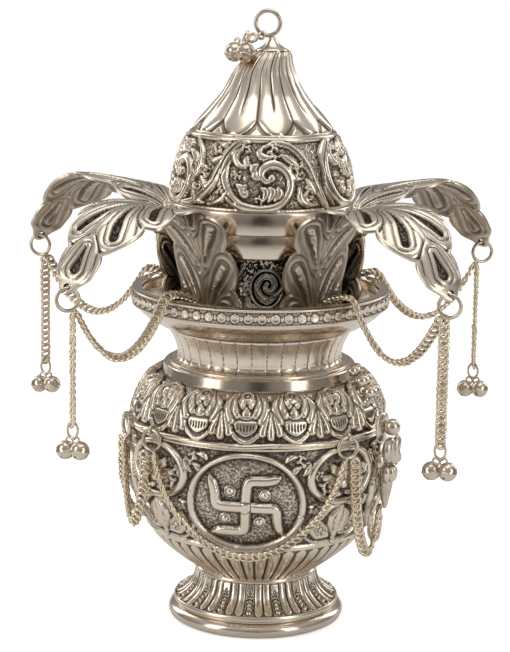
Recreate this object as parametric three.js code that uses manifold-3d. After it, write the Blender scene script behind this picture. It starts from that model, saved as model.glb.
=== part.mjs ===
// A silver kalash: a footed water pot with a wide rim, a spray of five mango leaves standing in its
// mouth, a metal coconut on top, and bell tassels and chain garlands hanging round it.
// Millimetres, +Z up. The origin is the middle of the underside, and the front faces -Y.
import * as THREE from 'three';
import { mergeVertices } from 'three/addons/utils/BufferGeometryUtils.js';
import Module from 'manifold-3d';

const wasm = await Module();
wasm.setup();

// Gaps, sheet thickness and how finely round shapes are divided
const seat = 0.3;
const sheet = 1.2;
const roundSteps = 40;
const smallRoundSteps = 32;
const wireSides = 4;
const ringSteps = 12;
const rodSides = 6;

// Foot
const footRimRadius = 35.4;
const footRimWidth = 4.8;
const footRimHeight = 5.9;
const baseDiscThickness = 0.9;
const footLedge = 2.3;
const footEdgeRadius = footRimRadius - footLedge;
const footEdgeHeight = 2.6;
const footSpoolHeight = 13.1;
const footFluteCount = 16;
const footFluteDepth = 0.5;
const waistRadius = 24.6;
const waistRingHeight = 2.0;

// Bowl
const bowlHeight = 80.3;
const bellyRadius = 52.3;
const bellyShare = 0.59;
const tongueShare = 0.228;
const shoulderRadius = 39.2;
const bellyWireShare = 0.79;
const bellyWireHalfHeight = 2.1;
const bellyWireStand = 1.4;

// Chased relief: how far the main forms stand out of the skin, and how deep they are rooted in it
const reliefStand = 0.9;
const reliefRoot = 0.5;
const frameHalfWidth = 1.45;
const bigFrameHalf = [22.8, 20.3];
const smallFrameHalf = [15.2, 10.6];
const lotusCount = 16;
const lotusTurn = -0.6;
const domeRepeats = 5;
const domeTurn = 6.4;

// Collar, neck and rim
const collarRadius = 38.9;
const collarSeatRadius = 29.6;
const collarHeight = 3.5;
const neckHeight = 16.7;
const neckFlare = 4.6;
const dishHeight = 13.0;
const rimRadius = 51.6;
const lipWidth = 3.6;
const bandHeight = 6.6;
const bandThickness = 1.2;

// Coconut
const cupRadius = 32.0;
const cupHeight = 55.7;
const cupBandHeight = 9.3;
const cupBandThickness = 1.7;
const spigotDepth = 6.0;
const lidCollarRadius = 36.2;
const lidCollarHeight = 8.7;
const domeHeight = 27.3;
const domeTopRadius = 27.6;
const coneHeight = 30.7;
const petalCount = 10;
const petalDepth = 0.9;
const petalTurn = 12;
const capRadius = 5.7;
const capThickness = 1.2;
const lugHeight = 4.2;
const tipLean = 3.0;
const tipLeanHeight = 9.5;
const finialRingRadius = 4.8;
const finialWire = 0.75;
const finialRingShift = -1.8;
const topBellRadius = 3.85;

// Leaf spray
const leafAzimuths = [-43, 42, 116, 180, -116];
const leafRingStand = 3.0;
const leafSheet = 1.0;
const leafHalfWidth = 14.6;
const leafReach = 104.8;
const leafCrownRadius = 71;
const leafCrownHeight = 175;
const leafTipHeight = 146;
const leafDroop = 2.6;
const leafLobes = 6;
const leafLobeDepth = 1.1;
const tipHoleRadius = 1.5;
const tipHoleInset = 3.0;

// Rings, chains and bells
const tipRingRadius = 4.4;
const ringWire = 0.6;
const linkPitch = 3.5;
const linkWidth = 4.4;
const linkNeckWidth = 2.8;
const linkEndWidth = 1.0;
const linkThickness = 1.8;
const tasselLinks = 13;
const bellRadius = 3.0;
const bellStem = 1.6;
const swagSag = 20;
const lipClearance = 0.9;

// Garlands round the belly, as turns from the front medallion's axis
const frontTurn = -5;
const hangerTurns = { left: -45, right: 45, back_right: 135, back_left: -135, far_left: -72 };
const pendantTurn = 67;
const hangerRingRadius = 4.2;
const earWidth = 2.4;
const earHeight = 3.6;
const wideSwagDepth = 37.7;
const leftLoopDepth = 31;
const rightLoopDepth = 33;
const sideSwagDepth = 38;

// Side pendant
const bracketWidth = 8;
const bracketHeight = 7;
const bracketDepth = 3.4;
const pendantLength = 46;
const pendantWidth = 10;
const pendantThickness = 6.4;

// Heights of the joints, from the ground up
const footBottom = footRimHeight + seat;
const footTop = footBottom + footSpoolHeight;
const waistBottom = footTop + seat;
const bowlBottom = waistBottom + waistRingHeight + seat;
const bowlTop = bowlBottom + bowlHeight;
const collarBottom = bowlTop + seat;
const collarTop = collarBottom + collarHeight;
const neckBottom = collarTop + seat;
const neckTop = neckBottom + neckHeight;
const dishBottom = neckTop + seat;
const rimTop = dishBottom + dishHeight;
const cupBottom = collarTop + seat;
const seam = cupBottom + cupHeight;
const lidBottom = seam + seat;
const domeBottom = lidBottom + lidCollarHeight + seat;
const coneBottom = domeBottom + domeHeight + seat;
const capBottom = coneBottom + coneHeight + seat;
const lugTop = capBottom + capThickness + lugHeight;

// The coconut's outside fills the mouth, so the neck's inside follows it
const neckInside = cupRadius + seat;
const leafRingInside = cupRadius + seat;
const leafRingOutside = leafRingInside + 1.3;
const leafRootRadius = leafRingOutside + seat + leafSheet / 2;
const dishWallOutside = rimRadius - bandThickness - 2 * seat;

const silver = new THREE.MeshStandardMaterial({ color: 0xcfc8bb, metalness: 1, roughness: 0.3 });
const oxidised = new THREE.MeshStandardMaterial({ color: 0x7d766b, metalness: 1, roughness: 0.45 });
const chainMetal = new THREE.MeshStandardMaterial({ color: 0xc9bb98, metalness: 1, roughness: 0.35 });
const wireMetal = new THREE.MeshStandardMaterial({ color: 0xb5aa99, metalness: 1, roughness: 0.35 });

const radians = THREE.MathUtils.degToRad;

// A point at a radius and height, turned round the pot from the front towards +X
function around(radius, azimuth, z) {
  const a = radians(azimuth);
  return new THREE.Vector3(radius * Math.sin(a), -radius * Math.cos(a), z);
}

function smooth(from, to, value) {
  const t = Math.min(1, Math.max(0, (value - from) / (to - from)));
  return t * t * (3 - 2 * t);
}

// Weld a geometry into one closed body, drop flattened triangles and turn its faces outwards
function closed(geometry) {
  geometry.deleteAttribute('normal');
  geometry.deleteAttribute('uv');
  const welded = mergeVertices(geometry, 1e-4);
  const index = welded.index.array;
  const kept = [];
  for (let i = 0; i < index.length; i += 3) {
    const [a, b, c] = [index[i], index[i + 1], index[i + 2]];
    if (a !== b && b !== c && c !== a) kept.push(a, b, c);
  }
  const at = (i) => new THREE.Vector3().fromBufferAttribute(welded.attributes.position, i);
  let volume = 0;
  for (let i = 0; i < kept.length; i += 3) {
    volume += at(kept[i]).dot(at(kept[i + 1]).cross(at(kept[i + 2])));
  }
  if (volume < 0) kept.reverse();
  welded.setIndex(kept);
  return welded;
}

// A closed outline of [radius, height] points, turned round the upright axis
function turned(outline, segments, warp) {
  const points = outline.map(([r, z]) => new THREE.Vector2(r, z));
  const onAxis = outline[0][0] === 0 && outline[outline.length - 1][0] === 0;
  if (!onAxis) points.push(points[0].clone());
  const geometry = new THREE.LatheGeometry(points, segments);
  geometry.rotateX(Math.PI / 2);
  if (warp) {
    const position = geometry.attributes.position;
    for (let i = 0; i < position.count; i++) {
      const p = new THREE.Vector3().fromBufferAttribute(position, i);
      const r = Math.hypot(p.x, p.y);
      const azimuth = THREE.MathUtils.radToDeg(Math.atan2(p.x, -p.y));
      const moved = warp(r, azimuth, p.z);
      position.setXYZ(i, moved.x, moved.y, moved.z);
    }
  }
  return closed(geometry);
}

// A skin through rings of points that all have the same count, capped at both ends
function lofted(rings) {
  const count = rings[0].length;
  const vertices = rings.flat().flatMap((p) => [p.x, p.y, p.z]);
  const triangles = [];
  for (let k = 0; k + 1 < rings.length; k++) {
    for (let i = 0; i < count; i++) {
      const j = (i + 1) % count;
      const [a, b, c, d] = [k * count + i, k * count + j, (k + 1) * count + i, (k + 1) * count + j];
      triangles.push(a, b, d, a, d, c);
    }
  }
  const last = (rings.length - 1) * count;
  for (let i = 1; i + 1 < count; i++) {
    triangles.push(0, i + 1, i, last, last + i, last + i + 1);
  }
  const geometry = new THREE.BufferGeometry();
  geometry.setAttribute('position', new THREE.Float32BufferAttribute(vertices, 3));
  geometry.setIndex(triangles);
  return closed(geometry);
}

// Joining and cutting
function toSolid(geometry) {
  const vertProperties = new Float32Array(geometry.attributes.position.array);
  const triVerts = new Uint32Array(geometry.index.array);
  return new wasm.Manifold(new wasm.Mesh({ numProp: 3, vertProperties, triVerts }));
}

function toGeometry(solid) {
  const mesh = solid.getMesh();
  const geometry = new THREE.BufferGeometry();
  geometry.setAttribute('position', new THREE.Float32BufferAttribute(mesh.vertProperties, 3));
  geometry.setIndex(Array.from(mesh.triVerts));
  return closed(geometry);
}

function joined(geometries) {
  return toGeometry(geometries.map(toSolid).reduce((whole, next) => whole.add(next)));
}

function placed(geometry, position) {
  geometry.translate(position.x, position.y, position.z);
  return closed(geometry);
}

const kalash = new THREE.Group();

function add(name, geometry, material) {
  const mesh = new THREE.Mesh(geometry, material);
  mesh.name = name;
  kalash.add(mesh);
}

// Outline of the bowl, from the waist over the belly to the shoulder
const bowlCurve = new THREE.SplineCurve([
  new THREE.Vector2(waistRadius - 0.2, bowlBottom),
  new THREE.Vector2(waistRadius + (bellyRadius - waistRadius) * 0.31, bowlBottom + bowlHeight * 0.08),
  new THREE.Vector2(waistRadius + (bellyRadius - waistRadius) * 0.62, bowlBottom + bowlHeight * 0.18),
  new THREE.Vector2(waistRadius + (bellyRadius - waistRadius) * 0.835, bowlBottom + bowlHeight * 0.31),
  new THREE.Vector2(bellyRadius * 0.985, bowlBottom + bowlHeight * 0.45),
  new THREE.Vector2(bellyRadius, bowlBottom + bowlHeight * bellyShare),
  new THREE.Vector2(bellyRadius * 0.985, bowlBottom + bowlHeight * 0.775),
  new THREE.Vector2(bellyRadius * 0.935, bowlBottom + bowlHeight * 0.885),
  new THREE.Vector2((bellyRadius + shoulderRadius) / 2 - 0.9, bowlBottom + bowlHeight * 0.965),
  new THREE.Vector2(shoulderRadius, bowlTop),
]);
const bowlOutline = bowlCurve.getPoints(11);

// Outside radius of the bowl at a height
function bowlRadius(z) {
  for (let i = 0; i + 1 < bowlOutline.length; i++) {
    const [low, high] = [bowlOutline[i], bowlOutline[i + 1]];
    if (z <= high.y) {
      return low.x + (high.x - low.x) * Math.max(0, (z - low.y) / (high.y - low.y));
    }
  }
  return shoulderRadius;
}

function makeFoot() {
  const rimInside = footRimRadius - footRimWidth;
  const round = footRimHeight * 0.2;
  add('foot_rim_wire', turned([
    [rimInside, 0], [footRimRadius - round * 1.4, 0], [footRimRadius, footRimHeight * 0.35],
    [footRimRadius, footRimHeight * 0.65], [footRimRadius - round * 1.6, footRimHeight],
    [rimInside, footRimHeight],
  ], smallRoundSteps), silver);
  const discRadius = rimInside - seat;
  add('foot_base_disc', turned([
    [0, 0], [discRadius, 0], [discRadius, baseDiscThickness], [0, baseDiscThickness],
  ], 24), silver);

  const top = waistRadius - 0.4;
  const edge = footBottom + footEdgeHeight;
  const spread = footEdgeRadius - top;
  const rise = footTop - edge;
  const outside = [
    [footEdgeRadius - 1.5, footBottom], [footEdgeRadius, footBottom + 0.6], [footEdgeRadius - 0.4, edge],
    [top + spread * 0.68, edge + rise * 0.2], [top + spread * 0.4, edge + rise * 0.45],
    [top + spread * 0.17, edge + rise * 0.72], [top, footTop],
  ];
  const inside = [6, 3, 0].map((i) => [outside[i][0] - sheet * 1.3, outside[i][1]]);
  const fluted = (r, azimuth, z) => {
    const window = smooth(footBottom + 1, edge + 1, z) * (1 - smooth(footTop - 4, footTop - 1, z));
    const dip = footFluteDepth * window * (0.5 - 0.5 * Math.cos(radians(azimuth - frontTurn) * footFluteCount));
    return around(r - dip, azimuth, z);
  };
  add('foot', turned([...outside, ...inside], footFluteCount * 3, fluted), silver);

  add('waist_ring', turned([
    [waistRadius - 4, waistBottom], [waistRadius - 0.3, waistBottom],
    [waistRadius + 0.3, waistBottom + waistRingHeight / 2], [waistRadius - 0.3, waistBottom + waistRingHeight],
    [waistRadius - 4, waistBottom + waistRingHeight],
  ], smallRoundSteps), silver);
}

// The main chased forms are drawn flat, across and up from a starting height, and laid on a turned
// outline. They stand a little out of the skin.
function skinOver(outline, startHeight, spread) {
  return (middle, across, up, stand) => {
    let i = 0;
    while (i + 2 < outline.length && outline[i + 1].y <= startHeight) i++;
    const share = (startHeight - outline[i].y) / (outline[i + 1].y - outline[i].y);
    let from = outline[i].clone().lerp(outline[i + 1], share);
    let left = up;
    while (i + 2 < outline.length && from.distanceTo(outline[i + 1]) < left) {
      left -= from.distanceTo(outline[i + 1]);
      i++;
      from = outline[i];
    }
    const run = outline[i + 1].clone().sub(outline[i]).normalize();
    const radius = from.x + run.x * left;
    const azimuth = middle + THREE.MathUtils.radToDeg((across * spread(radius)) / radius);
    return around(radius + run.y * stand, azimuth, from.y + run.y * left - run.x * stand);
  };
}

// A rounded bar along drawn points
function raisedBar(skin, middle, points, halfWidths) {
  return lofted(points.map(([across, up], k) => {
    const before = points[Math.max(0, k - 1)];
    const after = points[Math.min(points.length - 1, k + 1)];
    const run = new THREE.Vector2(after[0] - before[0], after[1] - before[1]).normalize();
    const half = Array.isArray(halfWidths) ? halfWidths[k] : halfWidths;
    const top = Math.min(reliefStand, half);
    return [[-1, -reliefRoot], [0, top * 1.25], [1, -reliefRoot]].map(([s, out]) => {
      return skin(middle, across - run.y * s * half, up + run.x * s * half, out);
    });
  }));
}

function ellipseArc([wide, tall], height, from, to, count) {
  return Array.from({ length: count + 1 }, (_, i) => {
    const a = radians(from + ((to - from) * i) / count);
    return [wide * Math.cos(a), height + tall * Math.sin(a)];
  });
}

// An oval frame, made of two arcs that overlap at their ends
function raisedFrame(skin, middle, half, height, width) {
  return [[-5, 185], [175, 365]].map(([from, to]) => {
    return raisedBar(skin, middle, ellipseArc(half, height, from, to, 8), width);
  });
}

// Round the belly, four large frames alternate with four small ones. The front one holds the right-facing
// swastika.
function bellyRelief() {
  const skin = skinOver(bowlOutline, bowlBottom + bowlHeight * tongueShare, () => 1);
  const [bigMiddle, smallMiddle] = [bigFrameHalf[1] + 0.9, smallFrameHalf[1] + 20.6];
  const forms = [];
  for (let k = 0; k < 4; k++) {
    const turn = frontTurn + k * 90;
    forms.push(...raisedFrame(skin, turn, bigFrameHalf, bigMiddle, frameHalfWidth));
    forms.push(...raisedFrame(skin, turn + 45, smallFrameHalf, smallMiddle, frameHalfWidth * 0.8));
  }
  const arms = [
    [[0.1, -1], [0.3, 5], [0.9, 8.8], [2.6, 9.9], [7.6, 10], [13.6, 11.6]],
    [[-1, -0.5], [6, -0.9], [10.8, -1.4], [12, -3], [12.3, -6.4], [14.2, -12.8]],
    [[0, 1], [-0.2, -6], [-0.5, -10], [-2, -11.2], [-6.4, -11.4], [-13.6, -12.2]],
    [[1, -0.5], [-6, -0.6], [-10.6, -0.3], [-11.8, 1.2], [-12.2, 4.6], [-14.4, 11.4]],
  ];
  for (const arm of arms) {
    forms.push(raisedBar(skin, frontTurn, arm.map(([x, y]) => [x, y + bigMiddle]), [1.7, 1.8, 1.8, 1.8, 1.7, 0.8]));
  }
  return forms;
}

// Each lotus head on the shoulder has a seed head over a round shield. The head behind the pendant's
// bracket stays plain.
function shoulderRelief() {
  const skin = skinOver(bowlOutline, wireHeight + bellyWireHalfHeight * 0.6, () => 1);
  const forms = [];
  for (let k = 0; k < lotusCount; k++) {
    const turn = frontTurn + lotusTurn + (k * 360) / lotusCount;
    if (Math.abs(turn - frontTurn - pendantTurn) < 360 / lotusCount / 2) continue;
    forms.push(raisedBar(skin, turn, [[0, 10.5], [0, 16.5]], [1.8, 2.4]));
    forms.push(raisedBar(skin, turn, ellipseArc([5.4, 6.2], 8.4, 176, 364, 4), 0.7));
  }
  return forms;
}

// The bowl is one sheet with an open mouth and a closed floor over the foot
function makeBowl() {
  const lip = collarRadius - 4;
  const outside = bowlOutline.map((p) => [p.x, p.y]);
  const inside = bowlOutline.filter((p, i) => i % 2 === 0 && i > 1).reverse().map((p) => {
    return [p.x - sheet * 1.2, Math.min(p.y, bowlTop - sheet * 2)];
  });
  const skin = turned([
    [0, bowlBottom], ...outside, [lip, bowlTop], [lip, bowlTop - sheet],
    ...inside, [waistRadius - 3, bowlBottom + sheet * 1.5], [0, bowlBottom + sheet * 1.5],
  ], roundSteps);
  add('bowl', joined([skin, ...bellyRelief(), ...shoulderRelief()]), silver);
}

const wireHeight = bowlBottom + bowlHeight * bellyWireShare;
const wireInside = bowlRadius(wireHeight - bellyWireHalfHeight) + seat;
const wireOutside = wireInside + bellyWireStand;
const pinRadius = wireOutside + seat + ringWire + 0.1;

// The raised wire round the belly carries an ear for each hanging ring
function makeBellyWire() {
  let solid = toSolid(turned([
    [wireInside, wireHeight - bellyWireHalfHeight],
    [wireOutside - 0.4, wireHeight - bellyWireHalfHeight * 0.6], [wireOutside, wireHeight],
    [wireOutside - 0.4, wireHeight + bellyWireHalfHeight * 0.6], [wireInside, wireHeight + bellyWireHalfHeight],
  ], roundSteps));
  for (const turn of Object.values(hangerTurns)) {
    const reach = pinRadius + ringWire + seat + 0.7 - wireInside - 0.6;
    const ear = new THREE.BoxGeometry(earWidth, reach, earHeight);
    ear.translate(0, -(wireInside + 0.6 + reach / 2), wireHeight);
    const hole = new THREE.CylinderGeometry(ringWire + seat, ringWire + seat, earWidth * 2, 8);
    hole.rotateZ(Math.PI / 2);
    hole.translate(0, -pinRadius, wireHeight);
    for (const piece of [ear, hole]) piece.rotateZ(radians(frontTurn + turn));
    solid = solid.add(toSolid(closed(ear))).subtract(toSolid(closed(hole)));
  }
  add('belly_wire', toGeometry(solid), silver);
}

const funnel = [
  [neckInside, neckBottom], [neckInside + neckFlare * 0.12, neckBottom + neckHeight * 0.25],
  [neckInside + neckFlare * 0.45, neckBottom + neckHeight * 0.52],
  [neckInside + neckFlare * 0.82, neckBottom + neckHeight * 0.8], [neckInside + neckFlare, neckTop],
];

// Height at which the neck's inside has opened to a radius
function funnelHeight(radius) {
  for (let i = 0; i + 1 < funnel.length; i++) {
    const [[r0, z0], [r1, z1]] = [funnel[i], funnel[i + 1]];
    if (radius <= r1) return z0 + (z1 - z0) * Math.max(0, (radius - r0) / (r1 - r0));
  }
  return neckTop;
}

function makeNeck() {
  add('collar_ring', turned([
    [collarSeatRadius, collarBottom], [collarRadius, collarBottom], [collarRadius, collarBottom + 0.8],
    [collarRadius - 1.1, collarTop], [collarSeatRadius, collarTop],
  ], smallRoundSteps), silver);

  const outside = funnel.map(([r, z]) => [r + sheet, z]);
  add('neck', turned([
    [neckInside, neckBottom], [neckInside + sheet + 0.8, neckBottom],
    [neckInside + sheet + 0.8, neckBottom + 1.5], [outside[0][0] + 0.1, neckBottom + 2],
    ...outside.slice(1), ...funnel.slice(1).reverse(),
  ], smallRoundSteps), silver);

  const throat = neckInside + neckFlare;
  const wall = dishWallOutside;
  const floorEdge = dishBottom + dishHeight * 0.5;
  const lipInside = rimRadius - lipWidth - bandThickness;
  add('dish', turned([
    [throat, dishBottom], [throat + sheet, dishBottom], [throat + (wall - throat) * 0.7, dishBottom + 3.2],
    [wall, floorEdge], [wall, rimTop], [lipInside, rimTop], [lipInside + 0.6, rimTop - 1.4],
    [wall - sheet, floorEdge + 1.2], [throat + (wall - throat) * 0.62, dishBottom + 4.4],
    [throat, dishBottom + sheet],
  ], roundSteps), silver);

  const back = dishWallOutside + seat;
  const low = rimTop - bandHeight;
  add('rim_band', turned([
    [back, low], [rimRadius - 0.3, low], [rimRadius, low + 0.8], [rimRadius - 0.5, low + 1.5],
    [rimRadius - 0.5, rimTop - 1.5], [rimRadius, rimTop - 0.8], [rimRadius - 0.3, rimTop], [back, rimTop],
  ], roundSteps), silver);
}

function makeCoconut() {
  const bandBottom = seam - cupBandHeight;
  const inside = cupRadius - sheet;
  add('coconut_cup', turned([
    [0, cupBottom], [cupRadius - 1, cupBottom], [cupRadius, cupBottom + 1.2], [cupRadius, seam],
    [inside, seam], [inside, cupBottom + sheet + 1], [inside - 1, cupBottom + sheet], [0, cupBottom + sheet],
  ], smallRoundSteps), oxidised);
  const bandOutside = cupRadius + seat + cupBandThickness;
  add('coconut_cup_band', turned([
    [cupRadius + seat, bandBottom], [bandOutside, bandBottom], [bandOutside, seam], [cupRadius + seat, seam],
  ], smallRoundSteps), silver);

  const spigot = inside - seat;
  const collarTopZ = lidBottom + lidCollarHeight;
  add('lid_collar', turned([
    [spigot - sheet, lidBottom - spigotDepth], [spigot, lidBottom - spigotDepth], [spigot, lidBottom],
    [lidCollarRadius, lidBottom], [lidCollarRadius, collarTopZ], [lidCollarRadius - sheet * 2, collarTopZ],
    [lidCollarRadius - sheet * 2, lidBottom + sheet], [spigot - sheet, lidBottom + sheet],
  ], smallRoundSteps), silver);

  const drop = lidCollarRadius - domeTopRadius;
  const outline = [
    [lidCollarRadius - 0.7, 0], [lidCollarRadius - 0.25, 0.17], [lidCollarRadius - drop * 0.14, 0.4],
    [lidCollarRadius - drop * 0.35, 0.63], [lidCollarRadius - drop * 0.67, 0.86], [domeTopRadius, 1],
  ].map(([r, share]) => [r, domeBottom + share * domeHeight]);
  const underside = [5, 3, 0].map((i) => [outline[i][0] - sheet * 1.5, outline[i][1]]);
  const dome = turned([...outline, ...underside], smallRoundSteps);
  add('lid_dome', joined([dome, ...domeRelief(outline)]), oxidised);

  const foot = domeTopRadius - 0.8;
  const run = foot - capRadius;
  const profile = [
    [foot, 0], [capRadius + run * 0.96, 0.07], [capRadius + run * 0.73, 0.26], [capRadius + run * 0.49, 0.48],
    [capRadius + run * 0.33, 0.69], [capRadius + run * 0.21, 0.85], [capRadius + 0.2, 1],
  ].map(([r, share]) => [r, coneBottom + share * coneHeight]);
  const hollow = [6, 3, 0].map((i) => [profile[i][0] - sheet * 2, profile[i][1]]);
  const petals = (r, azimuth, z) => {
    const half = radians(azimuth - petalTurn) * petalCount / 2;
    const window = 1 - 0.5 * smooth(coneBottom + coneHeight * 0.6, coneBottom + coneHeight, z);
    const share = Math.min(1, r / foot * 1.6);
    return leaning(around(r - petalDepth * window * share * (1 - Math.abs(Math.cos(half))), azimuth, z));
  };
  add('lid_cone', turned([...profile, ...hollow], petalCount * 4, petals), silver);

  const lugBase = capBottom + capThickness;
  add('lid_cap', turned([
    [0, capBottom], [capRadius, capBottom], [capRadius, lugBase - 0.4], [capRadius - 1.2, lugBase],
    [capRadius * 0.38, lugBase + lugHeight * 0.42], [capRadius * 0.22, lugTop], [0, lugTop],
  ], 20, (r, azimuth, z) => leaning(around(r, azimuth, z))), silver);
}

// Each repeat on the dome has a band that curls in to a knot, and a branch that arches over it
function domeRelief(outline) {
  const points = outline.map(([r, z]) => new THREE.Vector2(r, z));
  const skin = skinOver(points, domeBottom, (r) => Math.pow(r / lidCollarRadius, 0.4));
  const curl = [
    [-10.3, 27.3], [-17.1, 23.7], [-20, 16.9], [-18.5, 8.6], [-12, 2.8], [-3, 1.6], [4.5, 5], [6.9, 11.5],
    [3.4, 17.4], [-3, 17.6],
  ];
  const curlWidths = [0.9, 1.5, 1.7, 1.7, 1.6, 1.3, 1.2, 1.2, 1.2, 0.8];
  const branch = [[-3.4, 25.4], [1.7, 27], [8.6, 25.6], [15, 18.5], [19, 9.5], [22.8, 1.8]];
  const forms = [];
  for (let k = 0; k < domeRepeats; k++) {
    const turn = domeTurn + (k * 360) / domeRepeats;
    forms.push(raisedBar(skin, turn, curl, curlWidths), raisedBar(skin, turn, branch, 0.9));
  }
  return forms;
}

// The coconut's tip leans to the right above its last few millimetres
function leanAt(z) {
  const start = capBottom - tipLeanHeight;
  const t = Math.min(1, Math.max(0, (z - start) / tipLeanHeight));
  return tipLean * t * t;
}

function leaning(point) {
  point.x += leanAt(point.z);
  return point;
}

// The finial ring stands on the lug, and a short link carries two smooth bells from it
function makeFinial() {
  const outer = finialRingRadius + finialWire + seat;
  const tilt = Math.asin(finialRingShift / outer);
  const centre = new THREE.Vector3(leanAt(capBottom) + finialRingShift, 0, lugTop + outer * Math.cos(tilt));
  const ring = new THREE.TorusGeometry(finialRingRadius, finialWire, wireSides, ringSteps + 6);
  ring.rotateX(Math.PI / 2);
  add('finial_ring', placed(ring, centre), wireMetal);

  const hook = centre.clone().add(new THREE.Vector3(-0.5, 0, -0.87).multiplyScalar(finialRingRadius));
  hook.y -= finialWire + seat + linkThickness / 2;
  const coneSide = new THREE.Vector3(-(topBellRadius + capRadius + 2.2), -1.5, capBottom - topBellRadius * 0.1);
  const nearSide = coneSide.clone().add(new THREE.Vector3(topBellRadius * 1.15, -topBellRadius * 1.75, 0.2));
  const bells = [coneSide, nearSide].map((p) => placed(new THREE.SphereGeometry(topBellRadius, 10, 7), p));
  const knot = coneSide.clone().lerp(nearSide, 0.5).add(new THREE.Vector3(1.2, 0.2, topBellRadius * 0.9));
  const stem = rod([hook, knot, coneSide.clone().lerp(nearSide, 0.5)], [0.9, 0.9, 0.9]);
  add('top_bells', joined([stem, ...bells]), wireMetal);
}

// A rod through a few points, with a radius of its own at each
function rod(points, radii) {
  const frames = alongPath(points, new THREE.Vector3(0.13, 0.95, 0.27));
  return lofted(frames.map(({ point, side, face }, k) => {
    const ring = [];
    for (let i = 0; i < rodSides; i++) {
      const a = (2 * Math.PI * i) / rodSides;
      const offset = side.clone().multiplyScalar(radii[k] * Math.cos(a));
      ring.push(point.clone().add(offset).add(face.clone().multiplyScalar(radii[k] * Math.sin(a))));
    }
    return ring;
  }));
}

// At each point of a path: the direction across it, and the direction its flat side faces.
// The facing direction is given once, or as a function of the point.
function alongPath(points, facing) {
  return points.map((point, i) => {
    const before = points[Math.max(0, i - 1)];
    const after = points[Math.min(points.length - 1, i + 1)];
    const tangent = after.clone().sub(before).normalize();
    const wanted = typeof facing === 'function' ? facing(point) : facing;
    const side = wanted.clone().cross(tangent).normalize();
    const face = tangent.clone().cross(side).normalize();
    return { point, side, face };
  });
}

// A chain is one flat bar that swells and narrows along its run, once for every few links
function chain(route, facing, linksPerBead) {
  const curve = new THREE.CatmullRomCurve3(route, false, 'centripetal');
  const beads = Math.max(2, Math.round(curve.getLength() / (linkPitch * linksPerBead)));
  const points = curve.getSpacedPoints(beads * 2);
  return lofted(alongPath(points, facing).map(({ point, side, face }, i) => {
    const isEnd = i === 0 || i === points.length - 1;
    const half = (isEnd ? linkEndWidth : i % 2 === 1 ? linkWidth : linkNeckWidth) / 2;
    const thick = linkThickness / 2;
    return [[half, 0], [0, thick], [-half, 0], [0, -thick]].map(([across, out]) => {
      return point.clone().add(side.clone().multiplyScalar(across)).add(face.clone().multiplyScalar(out));
    });
  }));
}

// A leaf rises beside the coconut, arches over the rim and falls to its tip. Its midrib is drawn at the
// front as a radius and a height, and each leaf is turned to its own place.
const leafRoot = new THREE.Vector2(leafRootRadius, neckTop - 1.5);
const leafCrown = new THREE.Vector2(leafCrownRadius, leafCrownHeight);
const leafTip = new THREE.Vector2(leafReach, leafTipHeight);
const leafRise = new THREE.CubicBezierCurve(
  leafRoot,
  new THREE.Vector2(leafRoot.x - 0.2, leafCrown.y - 12),
  new THREE.Vector2(leafRoot.x + 9.6, leafCrown.y),
  leafCrown,
);
const leafFall = new THREE.CubicBezierCurve(
  leafCrown,
  new THREE.Vector2(leafCrown.x + 15, leafCrown.y),
  new THREE.Vector2(leafTip.x - 8.3, leafTip.y + 14),
  leafTip,
);
const midrib = new THREE.CurvePath();
midrib.add(leafRise);
midrib.add(leafFall);
const leafLength = midrib.getLength();

function leafWidthAt(share) {
  const root = 0.42 + 0.58 * smooth(0, 0.2, share);
  const tip = Math.pow(Math.max(0, 1 - share), 0.72) * 1.75;
  const outline = leafHalfWidth * Math.min(root, 1, tip) + 2.4 * smooth(0.85, 1, share);
  const lobes = leafLobeDepth * Math.abs(Math.sin(Math.PI * leafLobes * share)) * smooth(0.1, 0.2, share);
  return outline + lobes * (1 - smooth(0.85, 0.95, share));
}

function midribAt(share) {
  const point = midrib.getPointAt(share);
  const ahead = midrib.getPointAt(Math.min(1, share + 0.004));
  const behind = midrib.getPointAt(Math.max(0, share - 0.004));
  const tangent = ahead.clone().sub(behind).normalize();
  return { point, normal: new THREE.Vector2(-tangent.y, tangent.x) };
}

const tipHole = midribAt(1 - tipHoleInset / leafLength);

function makeLeaf() {
  const sections = 22;
  const across = [-1, -0.5, 0, 0.5, 1];
  const rings = [];
  for (let k = 0; k <= sections; k++) {
    const { point, normal } = midribAt(k / sections);
    const half = leafWidthAt(k / sections);
    const at = (s, out) => {
      const sink = out - leafDroop * s * s * Math.pow(half / leafHalfWidth, 2);
      return new THREE.Vector3(s * half, -(point.x + normal.x * sink), point.y + normal.y * sink);
    };
    const top = across.map((s) => at(s, leafSheet / 2));
    const under = [1, 0, -1].map((s) => at(s, -leafSheet / 2));
    rings.push([...top, ...under]);
  }
  const drill = new THREE.CylinderGeometry(tipHoleRadius, tipHoleRadius, 8, 8);
  drill.rotateX(Math.atan2(-tipHole.normal.x, tipHole.normal.y) + Math.PI);
  drill.rotateX(Math.PI / 2);
  drill.translate(0, -tipHole.point.x, tipHole.point.y);
  return toGeometry(toSolid(lofted(rings)).subtract(toSolid(closed(drill))));
}

// The ring hangs straight down from the hole in the leaf's tip
const tipRingHeight = tipHole.point.y - tipRingRadius;
const tasselTop = tipRingHeight - tipRingRadius - ringWire - seat;
const tasselBottom = tasselTop - tasselLinks * linkPitch;

function makeTipRing() {
  const ring = new THREE.TorusGeometry(tipRingRadius, ringWire, wireSides, ringSteps);
  ring.rotateY(Math.PI / 2);
  return placed(ring, new THREE.Vector3(0, -tipHole.point.x, tipRingHeight));
}

function makeTassel() {
  const route = [tasselTop, (tasselTop + tasselBottom) / 2, tasselBottom].map((z) => {
    return new THREE.Vector3(0, -tipHole.point.x, z);
  });
  return chain(route, new THREE.Vector3(1, 0, 0), 1);
}

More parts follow.
